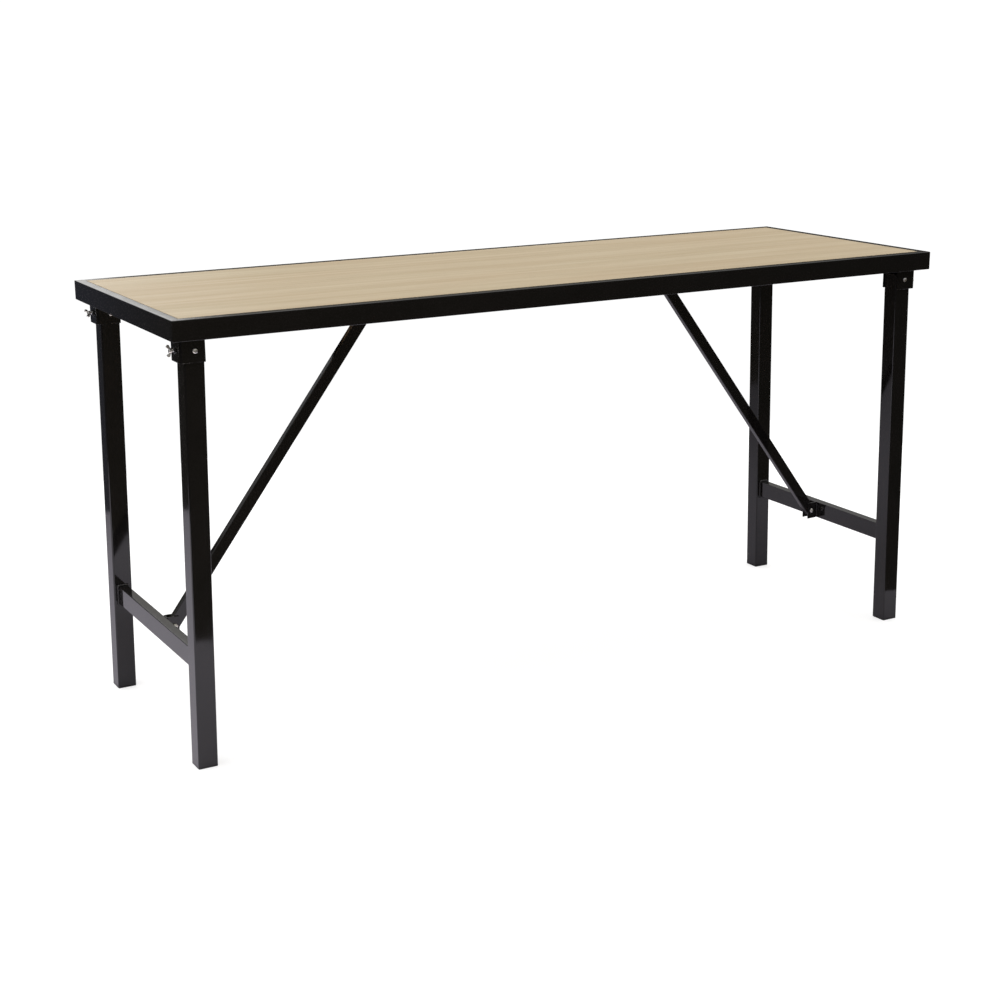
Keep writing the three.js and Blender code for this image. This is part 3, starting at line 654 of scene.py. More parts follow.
def build_cross_members():
    for name in MEMBERS:
        low, high = box_mm(f"cross_member_{name}")
        centre = (low + high) / 2
        half = (high.y - low.y) / 2
        tube = open_tube(MEMBER_HEIGHT, MEMBER_WIDTH, RAIL_CORNER, -half, half)
        matrix = standing((0, 1, 0), (1, 0, 0), *centre)
        piece(f"cross_member_{name}", tube, matrix, "table_frame", "black_paint", [ENAMEL],
              [f"cross_member_{name}"])


# ---- Fasteners, each along +Z with the face that it seats on at zero ----

def thread_loops(radius, pitch, depth, low, high, steps):
    """Rings whose radius rises and falls along a helix, fading in at both ends."""
    rows = round((high - low) / pitch * 8)
    loops = []
    for row in range(rows + 1):
        z = low + (high - low) * row / rows
        fade = min(1.0, (z - low) / pitch, (high - z) / pitch)
        loop = []
        for i in range(steps):
            turn = 2 * math.pi * i / steps
            phase = (z / pitch - i / steps) % 1.0
            r = radius - depth * fade * abs(2 * phase - 1)
            loop.append((r * math.cos(turn), r * math.sin(turn), z))
        loops.append(loop)
    return loops


def ring(radius, z, steps):
    return at_height(circle(radius, steps), z)


def cross_recess(width, reach, top, depth):
    """Two crossing tapered blades, from just above the top of a head down to the depth."""
    blades = []
    for turn in (0, 90):
        upper = [(-reach, -width), (reach, -width), (reach, width), (-reach, width)]
        lower = [(x * 0.45, y * 0.8) for x, y in upper]
        blade = skin([at_height(lower, top - depth), at_height(upper, top + 0.2)])
        blades.append(turned(blade, Matrix.Rotation(math.radians(turn), 4, "Z")))
    return blades


def domed_bolt(length, threaded):
    """Domed head with a cross recess; the far end of the shank is threaded."""
    steps = 32
    tip = -length
    thread_start = tip + threaded
    dome = [(BOLT_HEAD_RADIUS * math.cos(t), BOLT_HEAD_RIM + (BOLT_HEAD_HEIGHT - BOLT_HEAD_RIM) * math.sin(t))
            for t in [math.radians(9 * i) for i in range(10)]]
    loops = [ring(BOLT_RADIUS - 0.8, tip, steps), ring(BOLT_RADIUS - 0.5, tip + 0.3, steps)]
    loops += thread_loops(BOLT_RADIUS, THREAD_PITCH, THREAD_DEPTH, tip + 0.6, thread_start, steps)
    loops += [ring(BOLT_RADIUS, 0, steps), ring(BOLT_HEAD_RADIUS - 0.2, 0, steps),
              ring(BOLT_HEAD_RADIUS, 0.2, steps)]
    loops += [ring(r, z, steps) for r, z in dome] + [ring(0.3, BOLT_HEAD_HEIGHT, steps)]
    return carved(skin(loops), *cross_recess(0.7, 2.7, BOLT_HEAD_HEIGHT, 2.2))


def lock_nut():
    """Hexagon with chamfered corners and a round collar over a nylon ring."""
    steps = ROUND_STEPS
    flat = NUT_ACROSS_FLATS / 2
    face = flat * 0.97

    def corner_radius(i):
        return flat / math.cos(math.radians((360 * i / steps) % 60 - 30))

    def hexagon(z, towards):
        loop = []
        for i in range(steps):
            r, turn = corner_radius(i), 2 * math.pi * i / steps
            drop = (r - face) * math.tan(math.radians(30))
            loop.append((r * math.cos(turn), r * math.sin(turn), z + towards * drop))
        return loop

    return skin([
        ring(BOLT_RADIUS, 0, steps), ring(face, 0, steps), hexagon(0, 1), hexagon(NUT_HEX_HEIGHT, -1),
        ring(face, NUT_HEX_HEIGHT, steps), ring(NUT_COLLAR_RADIUS, NUT_HEX_HEIGHT, steps),
        ring(NUT_COLLAR_RADIUS, NUT_HEIGHT - 0.5, steps), ring(NUT_COLLAR_RADIUS - 0.5, NUT_HEIGHT, steps),
        ring(BOLT_RADIUS + 0.7, NUT_HEIGHT, steps), ring(BOLT_RADIUS + 0.7, NUT_HEIGHT - 0.4, steps),
        ring(BOLT_RADIUS, NUT_HEIGHT - 0.4, steps)], closed=True)


def nylon_faces(polygon):
    """The ring inside the nut's collar."""
    reach = math.hypot(polygon.center.x, polygon.center.y)
    return 1 if reach < BOLT_RADIUS + 0.65 and polygon.center.z > NUT_HEIGHT - 0.6 else 0


def wing_head():
    """Hub with two wings, cast in one piece: the shapes are fused and their edges run soft."""
    root = (WING_HUB_RADIUS - 2, WING_HUB_HEIGHT / 2)
    tip = (WING_SPAN / 2 - WING_LOBE, WING_RISE - WING_LOBE)
    hub = skin([ring(WING_HUB_RADIUS - 0.2, 0, ROUND_STEPS), ring(WING_HUB_RADIUS, 0.3, ROUND_STEPS),
                ring(WING_HUB_RADIUS - 0.9, WING_HUB_HEIGHT - 0.5, ROUND_STEPS),
                ring(WING_HUB_RADIUS - 1.4, WING_HUB_HEIGHT, ROUND_STEPS)])
    shapes = [hub]
    for turn in (0, math.pi):
        upright = Matrix.Rotation(turn, 4, "Z") @ Matrix.Rotation(math.pi / 2, 4, "X")
        neck = prism(strip(root, tip, WING_NECK), -WING_THICKNESS / 2, WING_THICKNESS / 2)
        lobe = prism([(x + tip[0], y + tip[1]) for x, y in circle(WING_LOBE)],
                     -WING_THICKNESS / 2, WING_THICKNESS / 2)
        shapes += [turned(neck, upright), turned(lobe, upright)]
    fused = loose_object("wing_head", together(*shapes))
    modified(fused, "REMESH", mode="VOXEL", voxel_size=0.4)
    modified(fused, "SMOOTH", factor=0.5, iterations=7)
    settled(fused)
    result = bmesh.new()
    result.from_mesh(fused.data)
    data = fused.data
    bpy.data.objects.remove(fused)
    bpy.data.meshes.remove(data)
    return result


def stud(low, high):
    """A threaded rod with eased ends."""
    steps = 32
    return skin([ring(BOLT_RADIUS - 0.7, low, steps), ring(BOLT_RADIUS - 0.4, low + 0.3, steps)]
                + thread_loops(BOLT_RADIUS, THREAD_PITCH, THREAD_DEPTH, low + 0.5, high, steps)
                + [ring(BOLT_RADIUS - 0.6, high + 0.3, steps)])


def bolt_along_y(name, head, body, threaded):
    """A domed bolt in the place of its node, with its head towards -Y or +Y."""
    low, high = box_mm(name)
    centre = (low + high) / 2
    seat = high.y - BOLT_HEAD_HEIGHT if head > 0 else low.y + BOLT_HEAD_HEIGHT
    length = high.y - low.y - BOLT_HEAD_HEIGHT
    matrix = standing((0, head, 0), (0, 0, 1), centre.x, seat, centre.z)
    piece(name, domed_bolt(length, threaded), matrix, body, "bright_zinc", [ZINC], [name])


def nut_along_y(name, outwards, body):
    low, high = box_mm(name)
    centre = (low + high) / 2
    seat = low.y if outwards > 0 else high.y
    matrix = standing((0, outwards, 0), (0, 0, 1), centre.x, seat, centre.z)
    piece(name, lock_nut(), matrix, body, "bright_zinc", [ZINC, NYLON], [name], finish=nylon_faces)


# ---- The ends of the table ----

def build_brackets():
    """Folded channels between the rim and the legs, each with a weld nut for its wing screw."""
    for corner in CORNERS:
        name = f"leg_bracket_{corner}"
        turn = end_turn(side_of(corner))
        low, high = box_mm(f"leg_bracket_{corner}")
        half = (high.y - low.y) / 2
        reach = high.x - low.x - WELD_NUT_HEIGHT
        web = max(abs(low.x), abs(high.x)) - WELD_NUT_HEIGHT
        y = middle(name).y * (1 if side_of(corner) == "right" else -1)
        matrix = turn @ place(web, y, PIVOT.z)
        outline = channel_outline(reach, half, BRACKET_SHEET, BRACKET_BEND)
        bottom = low.z - PIVOT.z
        sheet = prism(outline, bottom, high.z - PIVOT.z, edge=SHEET_EDGE, rings=(bottom + RUBBED_HIGHLIGHT_STRIP,))
        across = hole_along_y(BOLT_HOLE, 3 * half, x=PIVOT.x - web)
        through = turned(prism(circle(BOLT_HOLE), -WELD_NUT_HEIGHT, 2 * WELD_NUT_HEIGHT),
                         Matrix.Rotation(math.pi / 2, 4, "Y"))

        # The bottom strip takes the worn edge with its painted highlights.
        def rubbed_highlight(polygon, bottom=bottom):
            return 1 if polygon.center.z < bottom + RUBBED_HIGHLIGHT_STRIP else 0

        piece(name, carved(sheet, across, through), matrix, "table_frame", "black_paint",
              [ENAMEL, WORN_HIGHLIGHT_EDGE], [name], finish=rubbed_highlight)
        nut = weld_nut()
        piece(f"weld_nut_{corner}", nut, matrix @ Matrix.Rotation(math.pi / 2, 4, "Y"),
              "table_frame", "black_paint", [ENAMEL])


def weld_nut():
    flats = prism([(NUT_ACROSS_FLATS / 2 / math.cos(math.radians(30)) * math.cos(math.radians(a)),
                    NUT_ACROSS_FLATS / 2 / math.cos(math.radians(30)) * math.sin(math.radians(a)))
                   for a in range(0, 360, 60)], 0, WELD_NUT_HEIGHT, edge=0.3)
    return carved(flats, prism(circle(BOLT_HOLE), -1, WELD_NUT_HEIGHT + 1))


def floor_level(height):
    """The leg frame's own height of a level that far above the floor."""
    return lambda x, y: (height - PIVOT.z - x * math.sin(SPLAY)) / math.cos(SPLAY)


def foot_plug():
    """Plastic sole as wide as the leg, with a hollow plug pressed up into the tube."""
    inside = LEG_SIZE - 2 * TUBE_WALL - 2 * JOINT_GAP
    hollow = inside - 2 * FOOT_PLUG_WALL
    top = FOOT_SOLE + FOOT_PLUG_DEPTH - PIVOT.z
    sole = rounded(LEG_SIZE, LEG_SIZE, LEG_CORNER)
    eased = rounded(LEG_SIZE - 1, LEG_SIZE - 1, LEG_CORNER - 0.5)
    insert = rounded(inside, inside, 1.5)
    bore = rounded(hollow, hollow, 1.0)
    return skin([at_height(eased, floor_level(0)), at_height(sole, floor_level(0.6)),
                 at_height(sole, floor_level(FOOT_SOLE - 0.2)),
                 at_height(rounded(LEG_SIZE - 0.4, LEG_SIZE - 0.4, LEG_CORNER - 0.2), floor_level(FOOT_SOLE)),
                 at_height(insert, floor_level(FOOT_SOLE)), at_height(insert, top),
                 at_height(bore, top), at_height(bore, floor_level(FOOT_SOLE + 1.5))])


def build_leg_frame(side):
    turn = end_turn(side)
    body = f"leg_frame_{side}"
    drop = LOWER_IN_LEG_FRAME.z
    for depth in ("front", "back"):
        y = (-LEG_Y if depth == "front" else LEG_Y) * (1 if side == "right" else -1)
        matrix = turn @ LEG_FRAME @ place(0, y, 0)
        tube = open_tube(LEG_SIZE, LEG_SIZE, LEG_CORNER, floor_level(FOOT_SOLE + 0.15), LEG_ABOVE_PIVOT)
        leg = carved(tube, hole_along_y(BOLT_HOLE, 2 * LEG_SIZE))
        name = f"leg_{depth}_{side}"
        piece(name, leg, matrix, body, "black_paint", [ENAMEL], [name])
        name = f"foot_plug_{depth}_{side}"
        piece(name, foot_plug(), matrix, body, "black_plastic", [PLASTIC], [name])
    half = LEG_Y - LEG_SIZE / 2 - 0.05
    name = f"crossbar_{side}"
    bar = open_tube(CROSSBAR_DEPTH, CROSSBAR_HEIGHT, RAIL_CORNER, -half, half)
    matrix = turn @ LEG_FRAME @ place(0, 0, drop)
    piece(name, bar, matrix @ Matrix.Rotation(-math.pi / 2, 4, "X"), body, "black_paint", [ENAMEL], [name])
    build_lower_fork(side, matrix, body)


def build_lower_fork(side, crossbar, body):
    name = f"lower_fork_{side}"
    reach = -LOWER_IN_LEG_FRAME.x - CROSSBAR_DEPTH / 2 + 10.2
    outline = channel_outline(reach, FORK_HALF_WIDTH, FORK_SHEET, FORK_BEND)
    half = CROSSBAR_HEIGHT / 2
    fork = prism(outline, -half, half, edge=SHEET_EDGE)
    seat = -CROSSBAR_DEPTH / 2 - 0.05
    fork = carved(fork, hole_along_y(BOLT_HOLE, 4 * FORK_HALF_WIDTH, x=LOWER_IN_LEG_FRAME.x - seat))
    piece(name, fork, crossbar @ place(seat, LOWER.y, 0), body, "black_paint", [ENAMEL], [name])
    head = -1 if side == "right" else 1
    bolt_along_y(f"lower_bolt_{side}", head, body, LOWER_BOLT_THREAD)
    nut_along_y(f"lower_nut_{side}", -head, body)


def build_brace(side):
    turn = end_turn(side)
    body = f"brace_{side}"
    tube = open_tube(BRACE_DEPTH, BRACE_WIDTH, RAIL_CORNER, -BRACE_DEPTH, BRACE_LENGTH + BRACE_DEPTH)
    upright = Matrix.Rotation(math.pi / 2, 4, "X")
    side_view = strip((0, 0), (0, BRACE_LENGTH), BRACE_DEPTH / 2)
    profile = turned(prism(side_view, -BRACE_WIDTH, BRACE_WIDTH), upright)
    brace = carved(tube, profile, operation="INTERSECT")
    brace = carved(brace, hole_along_y(BOLT_HOLE, 3 * BRACE_WIDTH),
                   hole_along_y(BOLT_HOLE, 3 * BRACE_WIDTH, z=BRACE_LENGTH))
    matrix = turn @ place(*LOWER) @ Matrix.Rotation(BRACE_TILT, 4, "Y")
    piece(body, brace, matrix, body, "black_paint", [ENAMEL], [body])
    head = -1 if side == "right" else 1
    bolt_along_y(f"upper_bolt_{side}", head, body, UPPER_BOLT_THREAD)


def build_upper_fork(side):
    """Fork below the inner cross-member; slots in its ears let the brace's upper bolt out."""
    depth = FORK_HIGH.z - FORK_LOW.z
    length = FORK_HIGH.x - FORK_LOW.x
    level = FORK_HIGH.z - UPPER.z
    outline = channel_outline(depth, FORK_HALF_WIDTH, FORK_SHEET, FORK_BEND)
    ears = turned(prism(outline, -length / 2, length / 2, edge=SHEET_EDGE),
                  Matrix.Translation((0, 0, level)) @ Matrix.Rotation(-math.pi / 2, 4, "Y"))
    mouth = (-length * math.cos(RELEASE_ANGLE), -length * math.sin(RELEASE_ANGLE))
    slot = turned(prism(strip((0, 0), mouth, BOLT_HOLE), -2 * FORK_HALF_WIDTH, 2 * FORK_HALF_WIDTH),
                  Matrix.Rotation(math.pi / 2, 4, "X"))
    name = f"upper_fork_{side}"
    piece(name, carved(ears, slot), end_turn(side) @ place(*UPPER), "table_frame", "black_paint",
          [ENAMEL], [name])


def build_wing_screws_and_nuts():
    head = wing_head()
    low, high = box_mm("wing_screw_front_right")
    seat = high.x - WING_RISE
    screw = carved(head.copy(), stud(low.x - seat, WING_HUB_HEIGHT / 2), operation="UNION")
    for corner in CORNERS:
        side = side_of(corner)
        name = f"wing_screw_{corner}"
        y = middle(name).y * (1 if side == "right" else -1)
        spin = Matrix.Rotation(math.radians(WING_TURN[corner]), 4, "Z")
        matrix = end_turn(side) @ place(seat, y, PIVOT.z) @ Matrix.Rotation(math.pi / 2, 4, "Y") @ spin
        piece(name, screw.copy(), matrix, name, "bright_zinc", [ZINC], [name], sharp=50)
    nut = carved(head, prism(circle(BOLT_RADIUS + THREAD_PLAY), -1, WING_HUB_HEIGHT + WING_RISE))
    for side in SIDES:
        name = f"upper_wing_nut_{side}"
        low, high = box_mm(f"upper_wing_nut_{side}")
        seat = abs(low.y) if side == "right" else abs(high.y)
        matrix = end_turn(side) @ place(UPPER.x, seat, UPPER.z) @ Matrix.Rotation(-math.pi / 2, 4, "X")
        piece(name, nut.copy(), matrix, name, "bright_zinc", [ZINC], [name], sharp=50)
    screw.free()
    nut.free()


def build_pivots():
    for corner in CORNERS:
        outwards = -1 if corner.startswith("front") else 1
        bolt_along_y(f"pivot_bolt_{corner}", outwards, "table_frame", PIVOT_BOLT_THREAD)
        nut_along_y(f"pivot_nut_{corner}", -outwards, "table_frame")


# ---- Geometry Nodes: what repeats or follows a path ----

def geometry_tree(name, inputs):
    """A node tree with a geometry input, the named inputs (name, socket type) and a geometry output."""
    tree = bpy.data.node_groups.new(name, "GeometryNodeTree")
    tree.interface.new_socket("Geometry", in_out="INPUT", socket_type="NodeSocketGeometry")
    tree.interface.new_socket("Geometry", in_out="OUTPUT", socket_type="NodeSocketGeometry")
    for label, kind in inputs:
        tree.interface.new_socket(label, in_out="INPUT", socket_type=kind)
    return tree, node(tree, "NodeGroupInput")


def finish_tree(tree, geometry, given):
    """Ends a tree: instances are made real and everything takes the given material."""
    real = node(tree, "GeometryNodeRealizeInstances", {"Geometry": geometry})
    coated = node(tree, "GeometryNodeSetMaterial", {
        "Geometry": real.outputs["Geometry"], "Material": given.outputs["Material"]})
    node(tree, "NodeGroupOutput", {"Geometry": coated.outputs["Geometry"]})


def grown(name, points, edges, tree, values, widths=None):
    """The plain mesh that a tree makes from points and edges, as an object."""
    data = bpy.data.meshes.new(name)
    data.from_pydata(points, edges, [])
    if widths:
        data.attributes.new("bead_width", "FLOAT", "POINT").data.foreach_set("value", widths)
    made = bpy.data.objects.new(name, data)
    bpy.context.scene.collection.objects.link(made)
    modifier = made.modifiers.new(tree.name, "NODES")
    modifier.node_group = tree
    sockets = {item.name: item.identifier for item in tree.interface.items_tree if item.in_out == "INPUT"}
    for label, value in values.items():
        modifier[sockets[label]] = value
    return settled(made)


def weld_bead_tree():
    """A rippled bead along each path, its size wandering a little as a hand-laid one does."""
    tree, given = geometry_tree("weld_bead", [
        ("Radius", "NodeSocketFloat"), ("Ripple", "NodeSocketFloat"), ("Step", "NodeSocketFloat"),
        ("Seed", "NodeSocketFloat"), ("Material", "NodeSocketMaterial")])
    path = node(tree, "GeometryNodeMeshToCurve", {"Mesh": given.outputs["Geometry"]})
    fine = node(tree, "GeometryNodeResampleCurve", {
        "Curve": path.outputs["Curve"], "Length": given.outputs["Step"]}, mode="LENGTH")
    travelled = node(tree, "GeometryNodeSplineParameter").outputs["Length"]
    ripples = node(tree, "ShaderNodeMath", {0: travelled, 1: given.outputs["Ripple"]}, operation="DIVIDE")
    half_turns = node(tree, "ShaderNodeMath", {0: ripples, 1: math.pi}, operation="MULTIPLY")
    wave = node(tree, "ShaderNodeMath", {0: half_turns}, operation="SINE")
    crest = node(tree, "ShaderNodeMath", {0: wave}, operation="ABSOLUTE")
    swell = node(tree, "ShaderNodeMapRange", {"Value": crest, "To Min": 0.84, "To Max": 1.03})
    here = node(tree, "GeometryNodeInputPosition")
    wander = node(tree, "ShaderNodeTexNoise", {
        "Vector": here, "W": given.outputs["Seed"], "Scale": per_metre(9), "Detail": 1.0},
        noise_dimensions="4D")
    drift = node(tree, "ShaderNodeMapRange", {
        "Value": wander, "From Min": 0.3, "From Max": 0.7, "To Min": 0.88, "To Max": 1.12})
    uneven = node(tree, "ShaderNodeMath", {0: swell, 1: drift}, operation="MULTIPLY")
    width = node(tree, "GeometryNodeInputNamedAttribute", {"Name": "bead_width"}, data_type="FLOAT")
    size = node(tree, "ShaderNodeMath", {0: uneven, 1: width}, operation="MULTIPLY")
    sized = node(tree, "GeometryNodeSetCurveRadius", {"Curve": fine.outputs["Curve"], "Radius": size})
    section = node(tree, "GeometryNodeCurvePrimitiveCircle", {
        "Resolution": 12, "Radius": given.outputs["Radius"]})
    sweep = {"Curve": sized.outputs["Curve"], "Profile Curve": section.outputs["Curve"], "Fill Caps": True}
    bead = node(tree, "GeometryNodeCurveToMesh", sweep)
    if "Scale" in bead.inputs:
        radius = node(tree, "GeometryNodeInputRadius")
        tree.links.new(radius.outputs["Radius"], bead.inputs["Scale"])
    soft = node(tree, "GeometryNodeSetShadeSmooth", {"Geometry": bead.outputs["Mesh"]})
    finish_tree(tree, soft.outputs["Geometry"], given)
    return tree


def screw_tree():
    """A screw on each point, each stopped at its own turn."""
    tree, given = geometry_tree("screws_on_points", [
        ("Screw", "NodeSocketObject"), ("Seed", "NodeSocketInt"), ("Material", "NodeSocketMaterial")])
    screw = node(tree, "GeometryNodeObjectInfo", {"Object": given.outputs["Screw"]})
    turn = node(tree, "FunctionNodeRandomValue", {"Max": 2 * math.pi, "Seed": given.outputs["Seed"]},
                data_type="FLOAT")
    turn_socket = next(s for s in turn.outputs if s.enabled)
    spin = node(tree, "ShaderNodeCombineXYZ", {"Z": turn_socket})
    placed = node(tree, "GeometryNodeInstanceOnPoints", {
        "Points": given.outputs["Geometry"], "Instance": screw.outputs["Geometry"],
        "Rotation": spin.outputs["Vector"]})
    finish_tree(tree, placed.outputs["Instances"], given)
    return tree


def closed_path(outline, matrix):
    points = [matrix @ Vector((x / 1000, y / 1000, 0)) for x, y in outline]
    return points, True


def open_path(corners, matrix):
    return [matrix @ (Vector(corner) / 1000) for corner in corners], False


def weld(name, body, paths, tree, seed):
    """One piece of all the beads of a body; each path is (points, closed, width)."""
    points, edges, widths = [], [], []
    for (corners, closed), width in paths:
        first = len(points)
        points += corners
        widths += [width] * len(corners)
        edges += [(i, i + 1) for i in range(first, len(points) - 1)]
        if closed:
            edges.append((len(points) - 1, first))
    values = {"Radius": WELD_RADIUS / 1000, "Ripple": WELD_RIPPLE / 1000, "Step": WELD_RIPPLE / 5000,
              "Seed": seed, "Material": WELD}
    beads = grown(name, points, edges, tree, values, widths)
    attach(beads, body)


def leg_frame_welds(side):
    """Round both ends of the crossbar, and down both sides of the fork on it."""
    matrix = end_turn(side) @ LEG_FRAME @ place(0, 0, LOWER_IN_LEG_FRAME.z)
    off = WELD_STANDOFF
    around = rounded(CROSSBAR_DEPTH + 2 * off, CROSSBAR_HEIGHT + 2 * off, RAIL_CORNER + off)
    end = LEG_Y - LEG_SIZE / 2 - off
    small = SMALL_WELD_RADIUS / WELD_RADIUS
    paths = []
    for y in (-end, end):
        across = matrix @ place(0, y, 0) @ Matrix.Rotation(math.pi / 2, 4, "X")
        paths.append((closed_path(around, across), 1.0))
        out = FORK_HALF_WIDTH + 0.6 * off
        x, fork_y = -CROSSBAR_DEPTH / 2 - 0.6 * off, LOWER.y + math.copysign(out, y)
        reach = CROSSBAR_HEIGHT / 2 - 3
        paths.append((open_path([(x, fork_y, -reach), (x, fork_y, reach)], matrix), small))
    return paths


def table_frame_welds():
    """Cross-members to the long rails, forks to the cross-members, brackets and mitres to the rim."""
    paths = []
    small = SMALL_WELD_RADIUS / WELD_RADIUS
    off = 0.6 * WELD_STANDOFF
    here = Matrix.Identity(4)
    for name in MEMBERS:
        low, high = box_mm(f"cross_member_{name}")
        for y in (low.y + off, high.y - off):
            corners = [(low.x - off, y, high.z - 1), (low.x - off, y, low.z - off),
                       (high.x + off, y, low.z - off), (high.x + off, y, high.z - 1)]
            paths.append((open_path(corners, here), small))
    for side in SIDES:
        turn = end_turn(side)
        for sign in (-1, 1):
            y = UPPER.y + sign * (FORK_HALF_WIDTH - 0.2)
            z = FORK_HIGH.z - off
            x = MEMBER_WIDTH / 2 - 2
            paths.append((open_path([(UPPER.x - x, y, z), (UPPER.x + x, y, z)], turn), small))
    rail_low, rail_high = box_mm("rail_front")
    rim_x = CAD_BOX[1].x * 1000 - (rail_high.y - rail_low.y)
    rim_y = CAD_BOX[1].y * 1000 - (rail_high.y - rail_low.y)
    board_low = box_mm("top_panel")[0]
    for corner in CORNERS:
        x_sign = 1 if side_of(corner) == "right" else -1
        y_sign = -1 if corner.startswith("front") else 1
        low, high = box_mm(f"leg_bracket_{corner}")
        for y in (low.y, high.y):
            side_y = y + math.copysign(off - 1.5, y - (low.y + high.y) / 2)
            x = x_sign * (rim_x - off)
            corners = [(x, side_y, rail_low.z + 2), (x, side_y, board_low.z - 6)]
            paths.append((open_path(corners, here), small))
        x, y = x_sign * (rim_x - off), y_sign * (rim_y - off)
        paths.append((open_path([(x, y, rail_low.z + 2), (x, y, board_low.z - 3)], here), small))
        flats = NUT_ACROSS_FLATS / 2 / math.cos(math.radians(30)) + 0.2
        around = [(flats * math.cos(math.radians(a)), flats * math.sin(math.radians(a)))
                  for a in range(0, 360, 60)]
        web = max(abs(low.x), abs(high.x)) - WELD_NUT_HEIGHT
        outwards = Matrix.Rotation(math.pi / 2, 4, "Y")
        matrix = place(x_sign * (web + 0.2), (low.y + high.y) / 2, PIVOT.z) @ outwards
        paths.append((closed_path(around, matrix), 0.45))
    return paths


def build_panel_screws():
    """Pan-head screws up through the cross-members into the board."""
    steps = 32
    low, high = box_mm("panel_screw_outer_left_front")
    length = high.z - low.z - PANEL_SCREW_HEAD_HEIGHT
    dome = [(PANEL_SCREW_HEAD_RADIUS * math.cos(t), 0.8 + (PANEL_SCREW_HEAD_HEIGHT - 0.8) * math.sin(t))
            for t in [math.radians(9 * i) for i in range(10)]]
    loops = [ring(0.4, -length, steps)]
    loops += thread_loops(PANEL_SCREW_RADIUS, PANEL_SCREW_PITCH, 0.6, 2.5 - length, -1, steps)
    loops += [ring(PANEL_SCREW_RADIUS, 0, steps), ring(PANEL_SCREW_HEAD_RADIUS - 0.2, 0, steps)]
    loops += [ring(r, z, steps) for r, z in dome] + [ring(0.2, PANEL_SCREW_HEAD_HEIGHT, steps)]
    head_down = Matrix.Rotation(math.pi, 4, "X")
    screw = carved(skin(loops), *cross_recess(0.55, 2.3, PANEL_SCREW_HEAD_HEIGHT, 1.6))
    pattern = loose_object("panel_screw_pattern", turned(screw, MM @ head_down))
    pattern.data.shade_smooth()
    pattern.data.set_sharp_from_angle(angle=math.radians(38))
    names = [f"panel_screw_{member}_{depth}" for member in MEMBERS for depth in ("front", "back")]
    seats = [(middle(n).x / 1000, middle(n).y / 1000, (box_mm(n)[0].z + PANEL_SCREW_HEAD_HEIGHT) / 1000)
             for n in names]
    screws = grown("panel_screws", seats, [], screw_tree(), {"Screw": pattern, "Seed": 7, "Material": ZINC})
    bpy.data.objects.remove(pattern)
    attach(screws, "table_frame")
    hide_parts(*names)


# ---- Studio: pale floor, soft light and the camera ----

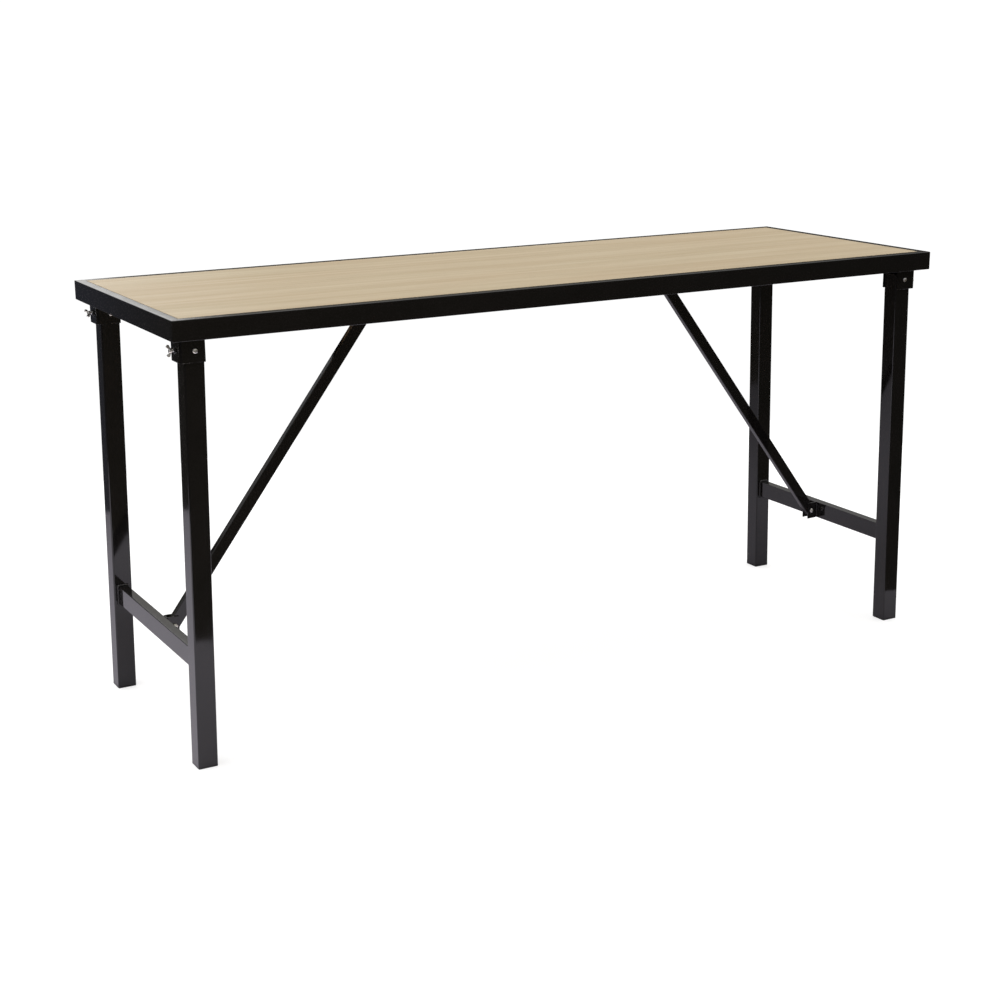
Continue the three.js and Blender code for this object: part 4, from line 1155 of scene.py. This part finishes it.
def build_studio():
    paper_width, paper_depth = 5.2, 2.75
    paper_turn = math.radians(18)
    floor_mesh = bpy.data.meshes.new("floor")
    floor_mesh.from_pydata([(x * paper_width / 2, y * paper_depth / 2, 0) for x, y in
                            ((-1, -1), (1, -1), (1, 1), (-1, 1))], [], [(0, 1, 2, 3)])
    floor = bpy.data.objects.new("floor", floor_mesh)
    bpy.context.scene.collection.objects.link(floor)
    floor.data.transform(Matrix.Translation((-0.42, 0.54, -0.0005)) @ Matrix.Rotation(paper_turn, 4, "Z"))
    floor.data.materials.append(studio_paper())

    world = bpy.data.worlds.new("soft_studio")
    world.use_nodes = True
    tree = world.node_tree
    tree.nodes.clear()
    ray = node(tree, "ShaderNodeTexCoord").outputs["Generated"]
    height = node(tree, "ShaderNodeSeparateXYZ", {0: ray}).outputs["Z"]
    # What lights and reflections see: dark round the horizon and below it, brightening to the
    # soft light overhead. The camera sees plain white instead.
    sky = node(tree, "ShaderNodeValToRGB", {"Fac": height}, stops=(
        (0.1, 0.0), (1.0, 1.3), (0.2, 0.1), (0.34, 0.46), (0.6, 1.0)))
    # The dim room: warm behind the camera, bluish daylight behind the table.
    sideways = node(tree, "ShaderNodeSeparateXYZ", {0: ray}).outputs["X"]
    bearing = node(tree, "ShaderNodeMapRange", {"Value": sideways, "From Min": -1.0})
    room = node(tree, "ShaderNodeValToRGB", {"Fac": bearing}, stops=(
        (0.32, "#3b3833"), (0.85, "#423f39"), (0.338, "#2f2d29"), (0.368, "#4a4d58"), (0.62, "#5d574c")))
    both = node(tree, "ShaderNodeMix", {0: 1.0, 6: sky, 7: room}, data_type="RGBA", blend_type="ADD")
    lit = node(tree, "ShaderNodeBackground", {"Color": both})
    plain = node(tree, "ShaderNodeBackground", {"Color": (1, 1, 1, 1), "Strength": 1.05})
    straight = node(tree, "ShaderNodeLightPath").outputs["Is Camera Ray"]
    mixed = node(tree, "ShaderNodeMixShader", {0: straight, 1: lit, 2: plain})
    node(tree, "ShaderNodeOutputWorld", {"Surface": mixed})
    bpy.context.scene.world = world
    bpy.context.scene.view_settings.view_transform = "Standard"

    sun = bpy.data.lights.new("overhead_soft_light", "SUN")
    sun.energy = 1.6
    sun.angle = math.radians(70)
    lamp = bpy.data.objects.new("overhead_soft_light", sun)
    lamp.rotation_euler = (math.radians(-12), math.radians(-10), 0)
    bpy.context.scene.collection.objects.link(lamp)

    # A tall white card leaning behind the left end; its slanting edge passes just left of the middle.
    card = bpy.data.lights.new("back_card", "AREA")
    card.shape = "RECTANGLE"
    card.size, card.size_y = 1.4, 1.5
    card.energy = 1.08 * math.pi * card.size * card.size_y
    lean = math.atan2(1.455 - 1.298, 0.2 + 0.07)
    corner = Vector((0.28, 3.0, 1.455)) + 0.3 * Vector((math.cos(lean), 0, math.sin(lean)))
    centre = corner + Matrix.Rotation(-lean, 3, "Y") @ Vector((-card.size / 2, 0, card.size_y / 2))
    card_object = bpy.data.objects.new("back_card", card)
    card_object.matrix_world = (Matrix.Translation(centre) @ Matrix.Rotation(-lean, 4, "Y")
                                @ Matrix.Rotation(-math.pi / 2, 4, "X"))
    card_object.visible_camera = False
    bpy.context.scene.collection.objects.link(card_object)


def build_camera():
    """The viewpoint: left of the front, at head height, looking down at the table."""
    yaw, pitch, roll = 0.5128, 0.2669, -0.0070
    forward = Vector((math.sin(yaw) * math.cos(pitch), math.cos(yaw) * math.cos(pitch), -math.sin(pitch)))
    level = Vector((math.cos(yaw), -math.sin(yaw), 0))
    upright = level.cross(forward)
    right = math.cos(roll) * level + math.sin(roll) * upright
    up = math.cos(roll) * upright - math.sin(roll) * level
    camera = bpy.data.cameras.new("camera")
    camera.sensor_width = 36
    camera.lens = 63.7
    holder = bpy.data.objects.new("camera", camera)
    turn = Matrix((right, up, -forward)).transposed().to_4x4()
    holder.matrix_world = Matrix.Translation((-1.9311, -3.3266, 1.4078)) @ turn
    bpy.context.scene.collection.objects.link(holder)
    bpy.context.scene.camera = holder


build_camera()
build_studio()
build_rim()
build_board()
build_cross_members()
build_panel_screws()
build_brackets()
build_pivots()
build_wing_screws_and_nuts()
for side in SIDES:
    build_leg_frame(side)
    build_brace(side)
    build_upper_fork(side)
BEAD = weld_bead_tree()
weld("welds_table_frame", "table_frame", table_frame_welds(), BEAD, 3.0)
weld("welds_leg_frame_right", "leg_frame_right", leg_frame_welds("right"), BEAD, 11.0)
weld("welds_leg_frame_left", "leg_frame_left", leg_frame_welds("left"), BEAD, 19.0)
